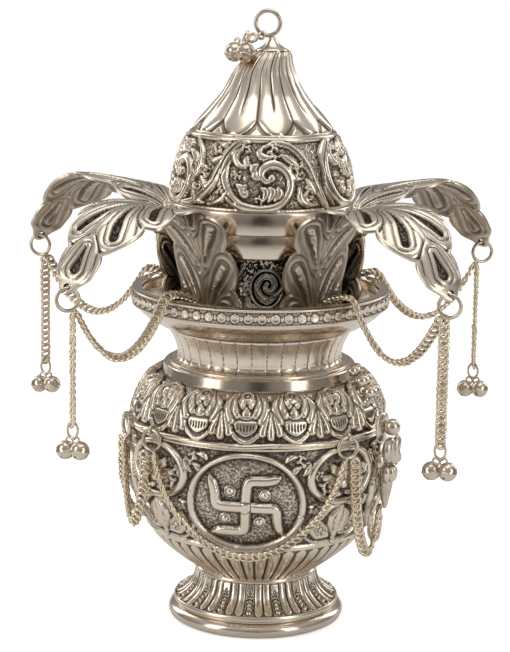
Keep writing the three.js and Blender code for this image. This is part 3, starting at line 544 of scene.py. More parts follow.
# %% [markdown]
# The bowl is one raised sheet. Its outline swells from the waist, is widest above the middle and rolls
# in to the shoulder. Three zones of chasing cover it, divided by raised lines.
# %% Bowl outline
FRONT = -5.0
waist_radius, belly_radius, shoulder_radius = 24.6, 52.3, 39.2
bowl_bottom, bowl_height = 21.9, 80.3
swell = belly_radius - waist_radius
bowl_curve = smooth_profile([
    (waist_radius - 0.2, bowl_bottom),
    (waist_radius + swell * 0.31, bowl_bottom + bowl_height * 0.08),
    (waist_radius + swell * 0.62, bowl_bottom + bowl_height * 0.18),
    (waist_radius + swell * 0.835, bowl_bottom + bowl_height * 0.31),
    (belly_radius * 0.985, bowl_bottom + bowl_height * 0.45),
    (belly_radius, bowl_bottom + bowl_height * 0.59),
    (belly_radius * 0.985, bowl_bottom + bowl_height * 0.775),
    (belly_radius * 0.935, bowl_bottom + bowl_height * 0.885),
    ((belly_radius + shoulder_radius) / 2 - 0.9, bowl_bottom + bowl_height * 0.965),
    (shoulder_radius, bowl_bottom + bowl_height),
])
tongue_top, pipe_height, ear_height = 40.2, 83.4, 85.3
print("bowl", bowl_curve[:, 0].max(), bowl_curve[-1])

# %% [markdown]
# Narrow tongues stand round the lower bowl like the bracts under a flower. Each is a rounded flute with a
# dark line on both sides and a round head.
# %% Lower bowl
tongue_count = 48


def punch_tongues(sheet, azimuth, radius):
    sector = np.radians(360 / tongue_count) * radius / 2
    x = off_middle(azimuth, radius, tongue_count, FRONT)
    top = sheet.y.max() - 1.6
    half = sector * 0.9 * np.sqrt(np.clip((top - sheet.y) / 2.2, 0, 1))
    body = 0.95 * round_top(x, np.maximum(half, 0.01)) * (half > 0.05)
    sheet.height = body - 0.55
    gap = rise(0.5, 0.0, np.abs(half - np.abs(x))) * (sheet.y < top + 0.5)
    sheet.ink = 0.75 * gap * (np.abs(x) >= half * 0.85)
    sheet.set_height(sheet.y > top + 0.5, 0.1 + 0.5 * round_top(sheet.y - top - 1.0, 0.6))
    sheet.darken(0.8 * rise(0.35, 0.0, np.abs(sheet.y - top - 0.25)))
    sheet.height *= rise(0, 0.6, sheet.y)


chased_sheet("bowl_tongues", cut_profile(bowl_curve, bowl_bottom, tongue_top), 624, 56, punch_tongues)

# %% [markdown]
# Sixteen lotus heads stand round the shoulder. Each has an arch, a domed seed head with a dark eye, three
# pairs of drop petals, a small vase and a shield with upright strokes. A bead fills the gap above two
# heads, and a pointed drop hangs between them.
# %% Shoulder
lotus_count, lotus_start, lotus_radius, lotus_tall = 16, -5.6, 50.0, 20.4


def punch_lotus(sheet, azimuth, radius):
    tall = sheet.y.max()
    x = off_middle(azimuth, lotus_radius, lotus_count, lotus_start)
    between = off_middle(azimuth, lotus_radius, lotus_count, lotus_start + 180 / lotus_count)
    sheet.height[:] = -0.8
    sheet.stipple(1.0, 0.25, 0.6)
    k = tall / lotus_tall

    def drawn(points, side=1):
        return [(side * a, b * k) for a, b in points]

    sheet.x = x
    head = np.hypot(x / 9.7, (sheet.y - 10.3 * k) / (9.9 * k))
    sheet.set_height(head < 1, -0.35)
    sheet.set_ink(head < 1, 0.12)
    rim = np.abs(head - 1) * 9.7
    sheet.darken(0.9 * rise(0.5, 0.15, rim) * (sheet.y > 8 * k))
    shield = drawn([(-6.6, 7.2), (-5.6, 4.2), (-3.2, 1.7), (0, 0.5), (3.2, 1.7), (5.6, 4.2), (6.6, 7.2)])
    sheet.raise_stroke(shield, [0.8], 0.4, outline=0.4)
    panel = (np.abs(x) < 5.0) & (sheet.y < 7.6 * k) & (sheet.y > (2.2 + 0.17 * x ** 2) * k)
    sheet.set_height(panel, 0.0)
    sheet.set_ink(panel, 0.0)
    sheet.line(drawn([(-5.1, 6.8), (-3.8, 4.2), (0, 2.3), (3.8, 4.2), (5.1, 6.8)]), 0.25, 0.3)
    for stroke_x in np.linspace(-2.9, 2.9, 6):
        sheet.line(drawn([(stroke_x, 4.2 + 0.09 * stroke_x ** 2), (stroke_x * 1.1, 6.2)]), 0.23, 0.3)
    for side in (1, -1):
        outer = drawn([(7.8, 16.0), (9.0, 12.6), (9.2, 9.4)], side)
        middle = drawn([(5.0, 18.2), (7.2, 14.6), (7.7, 11.0), (6.3, 7.8)], side)
        inner = drawn([(3.6, 18.4), (5.0, 15.2), (5.0, 12.4), (3.7, 9.9)], side)
        sheet.raise_stroke(outer, [0.15, 0.7, 0.85, 0.7], 0.9)
        sheet.raise_stroke(middle, [0.2, 0.8, 1.45, 1.9, 1.75], 1.2, outline=0.36)
        sheet.raise_stroke(inner, [0.2, 0.75, 1.25, 1.6, 1.5], 1.25, outline=0.36)
    sheet.raise_stroke(drawn([(-3.6, 10.6), (-2.0, 9.2), (0, 8.7), (2.0, 9.2), (3.6, 10.6)]), [0.45], 0.5,
                       outline=0.4)
    sheet.raise_stroke(drawn([(0, 12.6), (0, 10.6)]), [0.5, 2.0], 0.9)
    for side in (1, -1):
        sheet.raise_stroke(drawn([(0.9, 16.6), (2.2, 15.0), (1.8, 13.2)], side), [1.6, 1.9, 1.35], 1.1,
                           outline=0.3)
    cap = np.hypot(x / 3.3, (sheet.y - 16.6 * k) / (3.0 * k)) < 1
    sheet.set_ink(cap, 0.0)
    sheet.raise_oval(0, 16.6 * k, 3.4, 3.1 * k, 1.5, outline=0.2)
    eye = np.hypot(x, sheet.y - 16.8 * k)
    sheet.set_height(eye < 1.5, 1.2)
    ring = rise(0.55, 0.25, np.abs(eye - 1.15))
    sheet.darken(ring)
    sheet.height -= 0.7 * ring
    sheet.dot(0, 16.8 * k, 0.5, 0.3)
    sheet.x = between
    for side in (1, -1):
        leaf = drawn([(0.5, 10.8), (1.7, 7.6), (3.0, 5.2), (3.3, 3.6)], side)
        sheet.raise_stroke(leaf, [0.2, 0.8, 1.5, 1.45], 1.1, outline=0.36)
    sheet.raise_stroke(drawn([(0, 11.0), (0, 6.0), (0, 2.3)]), [0.25, 0.85, 1.55, 1.4], 1.3, outline=0.36)
    sheet.raise_oval(0, 17.4 * k, 1.0, 0.9, 0.6, outline=0.4)
    sheet.dot(0, 17.4 * k, 0.3, 0.25)
    sheet.height *= rise(0, 0.5, sheet.y) * rise(tall, tall - 0.4, sheet.y)


chased_sheet("bowl_shoulder", cut_profile(bowl_curve, pipe_height + 0.9, bowl_bottom + bowl_height), 784,
             60, punch_lotus)

# %% [markdown]
# Eight medallions stand round the belly: four large ones framed by a pipe, and four smaller ones between
# them. The front one holds the right-facing swastika, an ancient sign of good fortune that belongs on a
# Hindu or Jain kalash, with a boss in each quarter. The others hold flowers. The ground is stippled with
# a pointed punch, so it stays dark.
# %% Belly medallions
big_half_width, big_half_height, big_middle = 22.4, 19.9, 21.2
small_half_width, small_half_height, small_middle = 15.2, 10.6, 31.2


def flower(sheet, cx, cy, radius, petals, height, turn=0.0):
    for k in range(petals):
        a = math.radians(turn + 360 * k / petals)
        inner = (cx + 0.25 * radius * math.cos(a), cy + 0.25 * radius * math.sin(a))
        middle = (cx + 0.65 * radius * math.cos(a), cy + 0.65 * radius * math.sin(a))
        outer = (cx + radius * math.cos(a), cy + radius * math.sin(a))
        wide = 0.95 * math.pi * 0.6 * radius / petals
        sheet.raise_stroke([inner, middle, outer], [wide * 0.4, wide, wide * 0.45], height)
    sheet.raise_oval(cx, cy, 0.24 * radius, 0.24 * radius, height * 1.15)


def scroll(sheet, cx, cy, size, start, turn, height=0.8):
    """A leafy C-scroll: a stem that curls in to a bead, with lobes along its outside."""
    path = spiral(cx, cy, size, size * 0.22, start, start + turn)
    sheet.raise_stroke(path, [size * 0.06, size * 0.2, size * 0.17, size * 0.12], height)
    sheet.raise_oval(*path[-1], size * 0.24, size * 0.24, height * 1.2)
    for k, share in ((4, 0.62), (9, 0.56), (14, 0.42)):
        (ax, ay), (bx, by) = path[k - 1], path[k + 1]
        ahead = np.array([bx - ax, by - ay])
        ahead /= np.linalg.norm(ahead) + 1e-9
        out = math.copysign(1, turn) * np.array([ahead[1], -ahead[0]])
        reach = size * share
        lobe = [path[k], path[k] + (out * 0.6 + ahead * 0.5) * reach,
                path[k] + (out + ahead * 0.4) * reach]
        sheet.raise_stroke(lobe, [size * 0.13, size * 0.2, size * 0.06], height * 0.95)


def punch_belly(sheet, azimuth, radius):
    tall = sheet.y.max()
    sheet.height[:] = -0.65
    sheet.stipple(1.0, 0.3, 0.55)
    big_x = off_middle(azimuth, radius, 4, FRONT)
    small_x = off_middle(azimuth, radius, 4, FRONT + 45)
    any_x = off_middle(azimuth, radius, 1, FRONT)
    up = sheet.y

    # leaves and scrolls between the frames
    sheet.x = small_x
    for side in (1, -1):
        flip = mirrored if side < 0 else list
        paisley = flip([(3.2, 5.0), (7.2, 7.2), (11.0, 11.2), (12.6, 14.8)])
        sheet.raise_stroke(paisley, [0.6, 3.5, 3.1, 0.4], 0.75, outline=0.4)
        inner, _ = sheet.inside(flip([(4.4, 6.2), (7.4, 8.2), (10.6, 11.6)]), [0.9, 2.3, 1.4])
        sheet.set_height(inner > 0, 0.1)
        sheet.darken(0.85 * near(inner, 0.25))
        for a, b, r in ((6.0, 7.2, 0.75), (7.7, 8.6, 0.95), (9.4, 10.3, 0.75), (10.6, 11.9, 0.5)):
            sheet.raise_oval(side * a, b, r, r, 0.7)
        sheet.raise_stroke(flip([(1.2, 1.6), (8.5, 2.2), (14.5, 6.4), (17.5, 11.5)]), [0.5], 0.5)
        sheet.raise_stroke(flip([(1.4, 17.6), (3.6, 14.4), (3.4, 10.4), (1.8, 6.0)]),
                           [0.4, 1.3, 1.2, 0.3], 0.9)
        sheet.raise_stroke(flip([(2.0, 19.4), (6.0, 18.4), (8.6, 15.2)]), [0.4, 1.3, 0.5], 0.9)
        scroll(sheet, side * 12.6, 18.6, 2.3, 90, -side * 250, 0.7)
        scroll(sheet, side * 18.4, 39.4, 2.6, 200 if side > 0 else -20, side * 300, 0.95)
        for leaf in ([(19.6, 36.6), (21.6, 35.0), (22.6, 32.4)],
                     [(15.6, 37.6), (16.6, 35.0), (18.4, 33.0)],
                     [(21.0, 40.6), (23.8, 40.2), (25.6, 38.6)]):
            sheet.raise_stroke(flip(leaf), [0.4, 1.2, 0.3], 0.85)
    sheet.raise_stroke([(0, 18.5), (0, 12.0), (0, 3.0)], [1.0, 1.7, 0.5], 1.0)

    # small medallions: a shell flower over scrolls
    d = np.hypot(small_x / small_half_width, (up - small_middle) / small_half_height)
    disc = d < 1
    sheet.set_height(disc, -0.7)
    sheet.set_ink(disc, 0.25)
    sheet.stipple(disc * 1.0, 0.3, 0.6)
    shell = small_middle - 3.6
    for ray in np.radians(np.linspace(20, 160, 5)):
        reach = 8.2 + 1.6 * abs(math.cos(ray))
        blade = [(out * math.cos(ray), shell + out_up * math.sin(ray))
                 for out, out_up in ((1.4, 1.4), (0.62 * reach, 0.62 * reach), (reach, reach * 0.98))]
        sheet.raise_stroke(blade, [0.4, 1.7, 2.0, 1.1], 1.2)
    sheet.raise_oval(0, shell, 1.9, 1.9, 1.4)
    for side in (1, -1):
        scroll(sheet, side * 7.4, small_middle - 4.2, 3.0, 90, -side * 300, 0.9)
        scroll(sheet, side * 11.2, small_middle + 1.0, 2.2, 250, side * 280, 0.8)
        sheet.raise_stroke([(side * 2.0, small_middle - 7.4), (side * 6.0, small_middle - 8.4)],
                           [0.9, 0.4], 0.7)
    ring = (d - 1) * small_half_height
    frame_top = 1.35 * round_top(ring, 1.15)
    sheet.lift(np.abs(ring) < 1.15, frame_top - 0.1)
    sheet.darken(0.9 * near(np.abs(ring) - 1.3, 0.3))
    sheet.set_ink(np.abs(ring) < 1.0, 0.0)

    # large medallions
    d = np.hypot(big_x / big_half_width, (up - big_middle) / big_half_height)
    disc = d < 1
    sheet.set_height(disc, -0.5)
    sheet.set_ink(disc, 0.1)
    sheet.stipple(disc * 1.0, 0.34, 0.5)
    front = np.abs(any_x) < 26
    sheet.x = np.where(front, any_x, 99.0)
    arms = {
        "top": [(0.1, 0.0), (0.3, 5.0), (0.9, 8.6), (2.6, 9.9), (7.6, 10.0), (11.2, 10.5), (13.6, 11.6)],
        "right": [(0.0, -0.5), (6.0, -0.9), (10.6, -1.2), (12.0, -2.6), (12.3, -6.4), (13.0, -10.2),
                  (14.2, -12.8)],
        "bottom": [(0.0, 0.0), (-0.2, -6.0), (-0.4, -9.8), (-1.8, -11.2), (-6.4, -11.4), (-10.6, -11.7),
                   (-13.6, -12.2)],
        "left": [(0.0, -0.5), (-6.0, -0.6), (-10.4, -0.4), (-11.8, 1.0), (-12.2, 4.6), (-13.2, 8.6),
                 (-14.4, 11.4)],
    }
    for arm in arms.values():
        points = [(a, b + big_middle) for a, b in arm]
        sheet.raise_stroke(points, [1.95, 1.9, 1.95, 1.95, 1.85, 1.75, 0.35], 1.5, outline=0.45, flat=1.6)
    for a, b in ((-6.2, 5.6), (7.6, 4.2), (-8.2, -6.0), (5.4, -7.2)):
        sheet.raise_oval(a, b + big_middle, 2.3, 2.3, 0.15, outline=0.4)
        sheet.raise_oval(a, b + big_middle, 1.45, 1.45, 1.0, outline=0.45)
    sheet.x = np.where(front, 99.0, big_x)
    flower(sheet, 0, big_middle, 15.0, 8, 1.1, 22.5)
    flower(sheet, 0, big_middle, 8.2, 8, 1.3)
    sheet.raise_oval(0, big_middle, 2.2, 2.2, 1.6)
    ring = (d - 1) * big_half_height
    joint = 1 - 0.5 * near(np.abs(np.sin(np.arctan2(up - big_middle, big_x) * 2 + 0.4)), 0.03)
    frame_top = 1.8 * round_top(ring - 0.2, 1.15) * joint
    sheet.set_height(np.abs(ring - 0.2) < 1.15, np.maximum(-0.2, frame_top - 0.25))
    sheet.set_ink(np.abs(ring - 0.2) < 1.0, 0.5 * (1 - joint))
    for where, wide in ((-1.2, 0.35), (1.6, 0.35)):
        sheet.darken(0.9 * near(ring - where, wide))

    # plain lines above and below
    for middle, half in ((0.7, 0.55), (tall - 0.6, 0.5)):
        edge = np.abs(up - middle)
        sheet.lift(edge < half, 0.7 * round_top(edge, half))
        sheet.darken(0.8 * near(edge - half - 0.15, 0.25))
        sheet.set_ink(edge < half * 0.8, 0.0)
    sheet.height *= rise(0, 0.4, sheet.y) * rise(tall, tall - 0.4, sheet.y)


chased_sheet("bowl_belly", cut_profile(bowl_curve, tongue_top, pipe_height - 0.9), 800, 116, punch_belly)

# %% [markdown]
# The skins are only the outside. A plain lining behind them closes the pot, turns in at the mouth and
# gives the floor, so the pot is whole when the coconut is lifted out.
# %% Bowl lining
lining = [(0.0, bowl_bottom + 0.2), (waist_radius - 2.0, bowl_bottom + 0.2)]
lining += [(r - 1.5, z) for r, z in cut_profile(bowl_curve, bowl_bottom + 2, 100.5)[::8]]
lining += [(38.4, 101.6), (38.6, 102.2), (34.9, 102.2), (34.9, 101.0), (38.0, 100.4)]
lining += [(r - 2.4, z) for r, z in cut_profile(bowl_curve, bowl_bottom + 4, 99.0)[::-12]]
lining += [(0.0, bowl_bottom + 3.4)]
turned_piece("bowl_lining", lining, "pot", brushed_silver, steps=96, replaced=("bowl",))

# %% [markdown]
# A half-round pipe is soldered over the seam between belly and shoulder. It was bent by hand, so it
# wavers a little and shows a crease every few centimetres.
# %% Belly pipe
hanger_azimuths = {"left": -50.0, "right": 40.0, "back_right": 130.0, "back_left": -140.0,
                   "far_left": -77.0}
pin_radius = 54.1


def punch_pipe(sheet, azimuth, radius):
    tall = sheet.y.max()
    wave = 0.22 * np.sin(np.radians(azimuth * 7 + 20)) + 0.15 * np.sin(np.radians(azimuth * 17))
    across = (sheet.y - tall / 2 - wave) / (tall / 2 - 0.35)
    sheet.height = 1.75 * round_top(across, 1.0) - 0.75
    crease = np.zeros_like(azimuth)
    for place in (-161, -124, -88, -61, -33, -12, 9, 27, 52, 83, 118, 149):
        crease = np.maximum(crease, near(azimuth - place - 6 * across, 0.7))
    sheet.height -= 0.35 * crease
    sheet.ink = np.maximum(0.9 * (np.abs(across) > 0.96), 0.6 * crease)


chased_sheet("belly_pipe", cut_profile(bowl_curve, pipe_height - 1.7, pipe_height + 1.6), 480, 14,
             punch_pipe, replaced=("belly_wire",))

# %% [markdown]
# The foot stands on a round wire. Above the flat flange the spool is chased with sixteen long tongues
# that hold beads, with plain flutes between them, and every flute ends in a scallop.
# %% Foot
foot_curve = smooth_profile([(31.9, 6.2), (33.1, 6.8), (33.2, 8.2), (31.4, 9.2), (28.6, 11.0),
                             (26.3, 13.4), (24.9, 16.4), (24.2, 19.4)])
foot_tongues = 16


def punch_foot(sheet, azimuth, radius):
    tall = sheet.y.max()
    long_x = off_middle(azimuth, radius, foot_tongues, FRONT)
    third = off_middle(azimuth, radius, foot_tongues * 3, FRONT)
    half = np.radians(360 / foot_tongues / 6) * radius
    foot_line = 4.6
    flutes = sheet.y > foot_line - 1.0
    end = np.sqrt(np.clip((sheet.y - foot_line + 0.9) / 1.8, 0, 1))
    wide = half * 0.93 * end
    body = 0.75 * round_top(third, np.maximum(wide, 0.02)) * (wide > 0.05)
    sheet.height = np.where(flutes, body - 0.35, 0.25)
    line = rise(0.42, 0.0, np.abs(np.abs(third) - wide)) * flutes
    sheet.ink = 0.8 * line
    sheet.x = long_x
    on_long = np.abs(long_x) < half * 1.02
    sheet.set_height(on_long & flutes, 0.15)
    s, _ = sheet.inside([(0, foot_line + 0.9), (0, 8.6), (0, 12.6), (0, 15.4)], [1.75, 1.7, 1.2, 0.2])
    sheet.height = np.where(s > 0, 0.0, np.where(on_long & flutes, 0.5, sheet.height))
    sheet.darken(0.9 * near(s, 0.28) * flutes)
    for y, r in ((5.7, 1.05), (7.9, 0.85), (9.6, 0.75), (11.2, 0.6), (12.6, 0.45)):
        sheet.raise_oval(0, y, r, r * 0.95, 0.65)
        for side in (1, -1):
            sheet.raise_stroke([(side * 0.5, y + 0.9), (side * 1.15, y + 1.5)], [0.3, 0.15], 0.45)
    sheet.set_height(sheet.y < 3.0, 0.35 * round_top(sheet.y - 1.6, 1.7))
    sheet.ink = np.maximum(sheet.ink * (sheet.y > 3.2), 0.7 * near(sheet.y - 3.4, 0.4))
    sheet.height *= rise(tall, tall - 0.5, sheet.y)


chased_sheet("foot_spool", foot_curve, 640, 64, punch_foot, replaced=("foot",))
foot_wire = [(31.4, 0.3), (33.2, 0.0), (35.0, 0.9), (35.6, 2.2), (35.6, 3.4), (35.0, 4.7), (33.6, 5.6),
             (32.6, 5.9), (32.6, 6.2), (33.3, 6.3), (33.3, 6.6), (31.0, 6.6), (30.6, 5.9), (30.6, 0.3),
             (31.4, 0.3)]
turned_piece("foot_wire_round", foot_wire, "pot", plain_silver, steps=144, replaced=("foot_rim_wire",),
             smooth=50)
waist = [(23.2, 19.5), (24.5, 19.4), (25.0, 19.9), (25.0, 20.6), (24.6, 21.1), (24.9, 21.5), (24.6, 22.0),
         (23.2, 22.0), (23.2, 19.5)]
turned_piece("waist_bead", waist, "pot", plain_silver, steps=96, replaced=("waist_ring",), smooth=60)

# %% [markdown]
# A flat collar sits on the shoulder, slightly dented from use. The neck above it flares like a bell, with
# soft slanting flutes that are marked by broken engraved lines.
# %% Collar and neck
collar = [(29.6, 101.6), (38.9, 101.6), (39.1, 101.9), (38.4, 105.7), (38.1, 106.05), (37.6, 106.2),
          (34.4, 106.3), (29.6, 106.1), (29.6, 101.6)]
turned_piece("collar_flat", collar, "pot", plain_silver, steps=128, replaced=("collar_ring",), smooth=25)
neck_curve = smooth_profile([(36.4, 106.1), (35.9, 107.0), (34.0, 107.6), (33.0, 108.8), (33.2, 111.4),
                             (34.2, 115.0), (35.9, 118.4), (37.4, 120.8), (38.4, 122.3)])
flute_count = 36


def punch_neck(sheet, azimuth, radius):
    lean = 1.6 * (sheet.y - 8) / 16 * np.sin(np.radians(azimuth - 3))
    x = off_middle(azimuth + lean, radius, flute_count)
    half = np.radians(180 / flute_count) * radius
    band = rise(2.6, 4.6, sheet.y)
    sheet.height = 0.32 * (round_top(x, half) - 0.7) * band
    flute = np.floor((azimuth + lean + 180 / flute_count) / (360 / flute_count))
    strokes = np.sin(sheet.y * 2.9 + flute * 1.7) > -0.35
    edge = rise(0.26, 0.05, np.abs(np.abs(x) - half)) * (sheet.y > 1.0)
    sheet.ink = 0.95 * edge * strokes
    sheet.height -= 0.12 * edge * strokes
    sheet.height += 0.35 * round_top(sheet.y - 0.7, 0.7) + 0.25 * round_top(sheet.y - 2.1, 0.6)
    sheet.darken(0.45 * rise(0.3, 0.0, np.abs(sheet.y - 1.45)))
    # The top of the neck is sunk a little and painted dark: painted shadow under the dish.
    top = rise(sheet.y.max() - 2.6, sheet.y.max() - 1.2, sheet.y)
    sheet.darken(top)
    sheet.height -= 0.5 * top


chased_sheet("neck_flare", neck_curve, 720, 44, punch_neck, replaced=("neck",))
# A near-black ring where the neck meets the dish: painted shadow under the dish's overhang.
neck_line = [(38.6, 121.9), (39.5, 121.6), (39.9, 121.9), (39.9, 122.3), (38.8, 122.5), (38.6, 121.9)]
turned_piece("neck_line", neck_line, "pot", painted_shade_silver, steps=128, smooth=60)
neck_back = [(r - 1.3, z) for r, z in neck_curve[::16]]
neck_front = [(r - 0.7, z) for r, z in neck_curve[::-16]]
turned_piece("neck_lining", neck_back + neck_front + neck_back[:1], "pot", brushed_silver, steps=96,
             smooth=60)

# %% [markdown]
# The rim is a shallow dish with a rolled lip. A narrow band runs round its edge: small discs with a
# square between two discs, and a row of dots above and below.
# %% Dish and rim band
dish = [(37.2, 122.2), (40.4, 122.0), (41.2, 122.4), (43.8, 124.0), (46.4, 125.6), (48.2, 127.2),
        (49.4, 128.4), (50.3, 129.3), (50.4, 129.9), (50.0, 130.0), (50.0, 136.0), (50.6, 136.5),
        (51.0, 136.75), (50.0, 137.0), (48.6, 137.0), (47.5, 136.7), (47.1, 136.0), (47.4, 133.2),
        (47.6, 131.4), (46.4, 130.4), (44.2, 129.2), (40.6, 126.6), (37.4, 124.9), (37.2, 122.2)]
turned_piece("dish_rolled", dish, "pot", plain_silver, steps=144, replaced=("dish",), smooth=42)
disc_count = 62


def punch_band(sheet, azimuth, radius):
    tall = sheet.y.max()
    middle = tall / 2
    x = off_middle(azimuth, radius, disc_count, FRONT)
    between = off_middle(azimuth, radius, disc_count, FRONT + 180 / disc_count)
    sheet.height[:] = -0.35
    sheet.ink[:] = 0.25
    sheet.x = x
    sheet.raise_oval(0, middle, 1.75, 1.75, 0.55, outline=0.35)
    flat = np.hypot(x, sheet.y - middle) < 1.45
    sheet.set_height(flat, np.minimum(sheet.height, 0.28))
    square = np.maximum(np.abs(between) / 0.62, np.abs(sheet.y - middle) / 0.85)
    sheet.set_height(square < 1, 0.15)
    sheet.darken(0.85 * near(square - 1.15, 0.35))
    sheet.set_ink(square < 0.9, 0.0)
    for edge in (0.55, tall - 0.55):
        rail = np.abs(sheet.y - edge)
        sheet.set_height(rail < 0.5, 0.3 * round_top(rail, 0.5) - 0.05)
        sheet.set_ink(rail < 0.5, 0.0)
    for row in (1.35, tall - 1.35):
        dots = np.hypot(off_middle(azimuth, radius, disc_count * 3), sheet.y - row)
        sheet.darken(0.95 * rise(0.42, 0.2, dots))
        sheet.height -= 0.2 * rise(0.45, 0.15, dots)


band_curve = smooth_profile([(50.5, 129.7), (51.3, 130.2), (51.4, 132.8), (51.3, 135.6), (50.7, 136.5)],
                            60)
chased_sheet("rim_discs", band_curve, 1116, 26, punch_band, replaced=("rim_band",))

# %% [markdown]
# The lower half of the coconut sits in the mouth. It is chased with scrolls and left nearly black, with a
# round medallion at the front, and its top is a plain polished band.
# %% Coconut cup
cup_curve = smooth_profile([(31.6, 107.0), (31.9, 112.0), (31.9, 130.0), (31.9, 152.6)], 60)


def punch_cup(sheet, azimuth, radius):
    tall = sheet.y.max()
    sheet.height[:] = -0.5
    sheet.stipple(1.0, 0.3, 1.0)
    sheet.darken(0.95)
    x = off_middle(azimuth, radius, 6, 4)
    sheet.x = x
    middle = 34.0
    for side in (1, -1):
        for y, size, start in ((24.0, 3.4, 90), (33.0, 3.6, 270), (41.0, 2.6, 90), (16.0, 3.0, 270)):
            scroll(sheet, side * 12.6, y, size, start, -side * 290, 0.7)
        sheet.raise_stroke([(side * 9.5, 20.0), (side * 10.5, 28.0), (side * 15.0, 36.0)],
                           [0.3, 0.9, 0.3], 0.6)
        sheet.raise_stroke([(side * 9.0, 42.5), (side * 12.5, 37.5), (side * 16.2, 43.0)],
                           [0.3, 0.8, 0.3], 0.6)
    d = np.hypot(x / 0.86, sheet.y - middle) + 1.6
    sheet.set_height(d < 8.6, -0.6)
    sheet.set_ink(d < 8.6, 0.95)
    hook = [(5.2, middle - 4.6), (0.6, middle - 6.4), (-4.4, middle - 3.2), (-5.4, middle + 2.0),
            (-1.8, middle + 6.0), (3.2, middle + 5.4), (5.0, middle + 1.6), (2.4, middle - 1.4),
            (-0.6, middle + 0.2), (0.2, middle + 2.4)]
    hook = [(a * 0.66, middle + (b - middle) * 0.78) for a, b in hook]
    sheet.raise_stroke(hook, [0.3, 0.5, 0.6, 0.55, 0.5, 0.45, 0.3], 0.7)
    for leaf in ([(-3.0, middle - 1.0), (-1.2, middle - 3.4), (1.8, middle - 4.2)],
                 [(2.4, middle - 2.8), (4.4, middle - 2.0), (6.0, middle)]):
        sheet.raise_stroke(leaf, [0.2, 0.5, 0.2], 0.6)
    ring = np.abs(d - 9.0)
    sheet.lift(ring < 0.5, 0.5 * round_top(ring, 0.5))
    sheet.set_ink(ring < 0.4, 0.1)
    sheet.height *= rise(tall, tall - 0.4, sheet.y)


chased_sheet("cup_scrolls", cup_curve, 480, 108, punch_cup, body="coconut", material=black_silver,
             replaced=("coconut_cup",))
cup_lining = [(0, 106.5), (30.6, 106.5), (31.4, 107.2), (31.2, 160.9), (32.4, 161.0), (32.4, 161.9),
              (30.9, 161.9), (30.9, 108.2), (0, 107.8)]
turned_piece("cup_lining", cup_lining, "coconut", brushed_silver, steps=96,
             smooth=40)
cup_band = [(31.6, 152.4), (33.4, 152.4), (33.9, 152.7), (34.1, 153.2), (34.1, 161.4), (33.9, 161.95),
            (31.6, 161.95), (31.6, 152.4)]
turned_piece("cup_band_plain", cup_band, "coconut", plain_silver, steps=128,
             replaced=("coconut_cup_band",), smooth=40)

# %% [markdown]
# The lid closes over the cup with a plain collar. Its dome is chased with large leafy scrolls between
# double straps, on a stippled ground, and narrows to a raised bead.
# %% Lid collar and dome
collar_outline = [(29.3, 156.5), (30.4, 156.4), (30.4, 162.3), (35.6, 162.3), (36.1, 162.6),
                  (36.2, 163.2), (36.2, 170.4), (36.0, 170.9), (35.4, 171.3), (33.6, 171.5),
                  (33.6, 164.0), (29.3, 163.6), (29.3, 156.5)]
turned_piece("lid_collar_plain", collar_outline, "coconut_lid", plain_silver, steps=128,
             replaced=("lid_collar",), smooth=38)
dome_curve = smooth_profile([(35.5, 171.2), (36.0, 173.2), (35.8, 176.0), (35.1, 181.0), (33.5, 187.6),
                             (30.8, 194.2), (28.4, 198.1), (27.2, 199.0)])
dome_sectors, dome_turn, dome_radius = 5, 6.4, 36.2


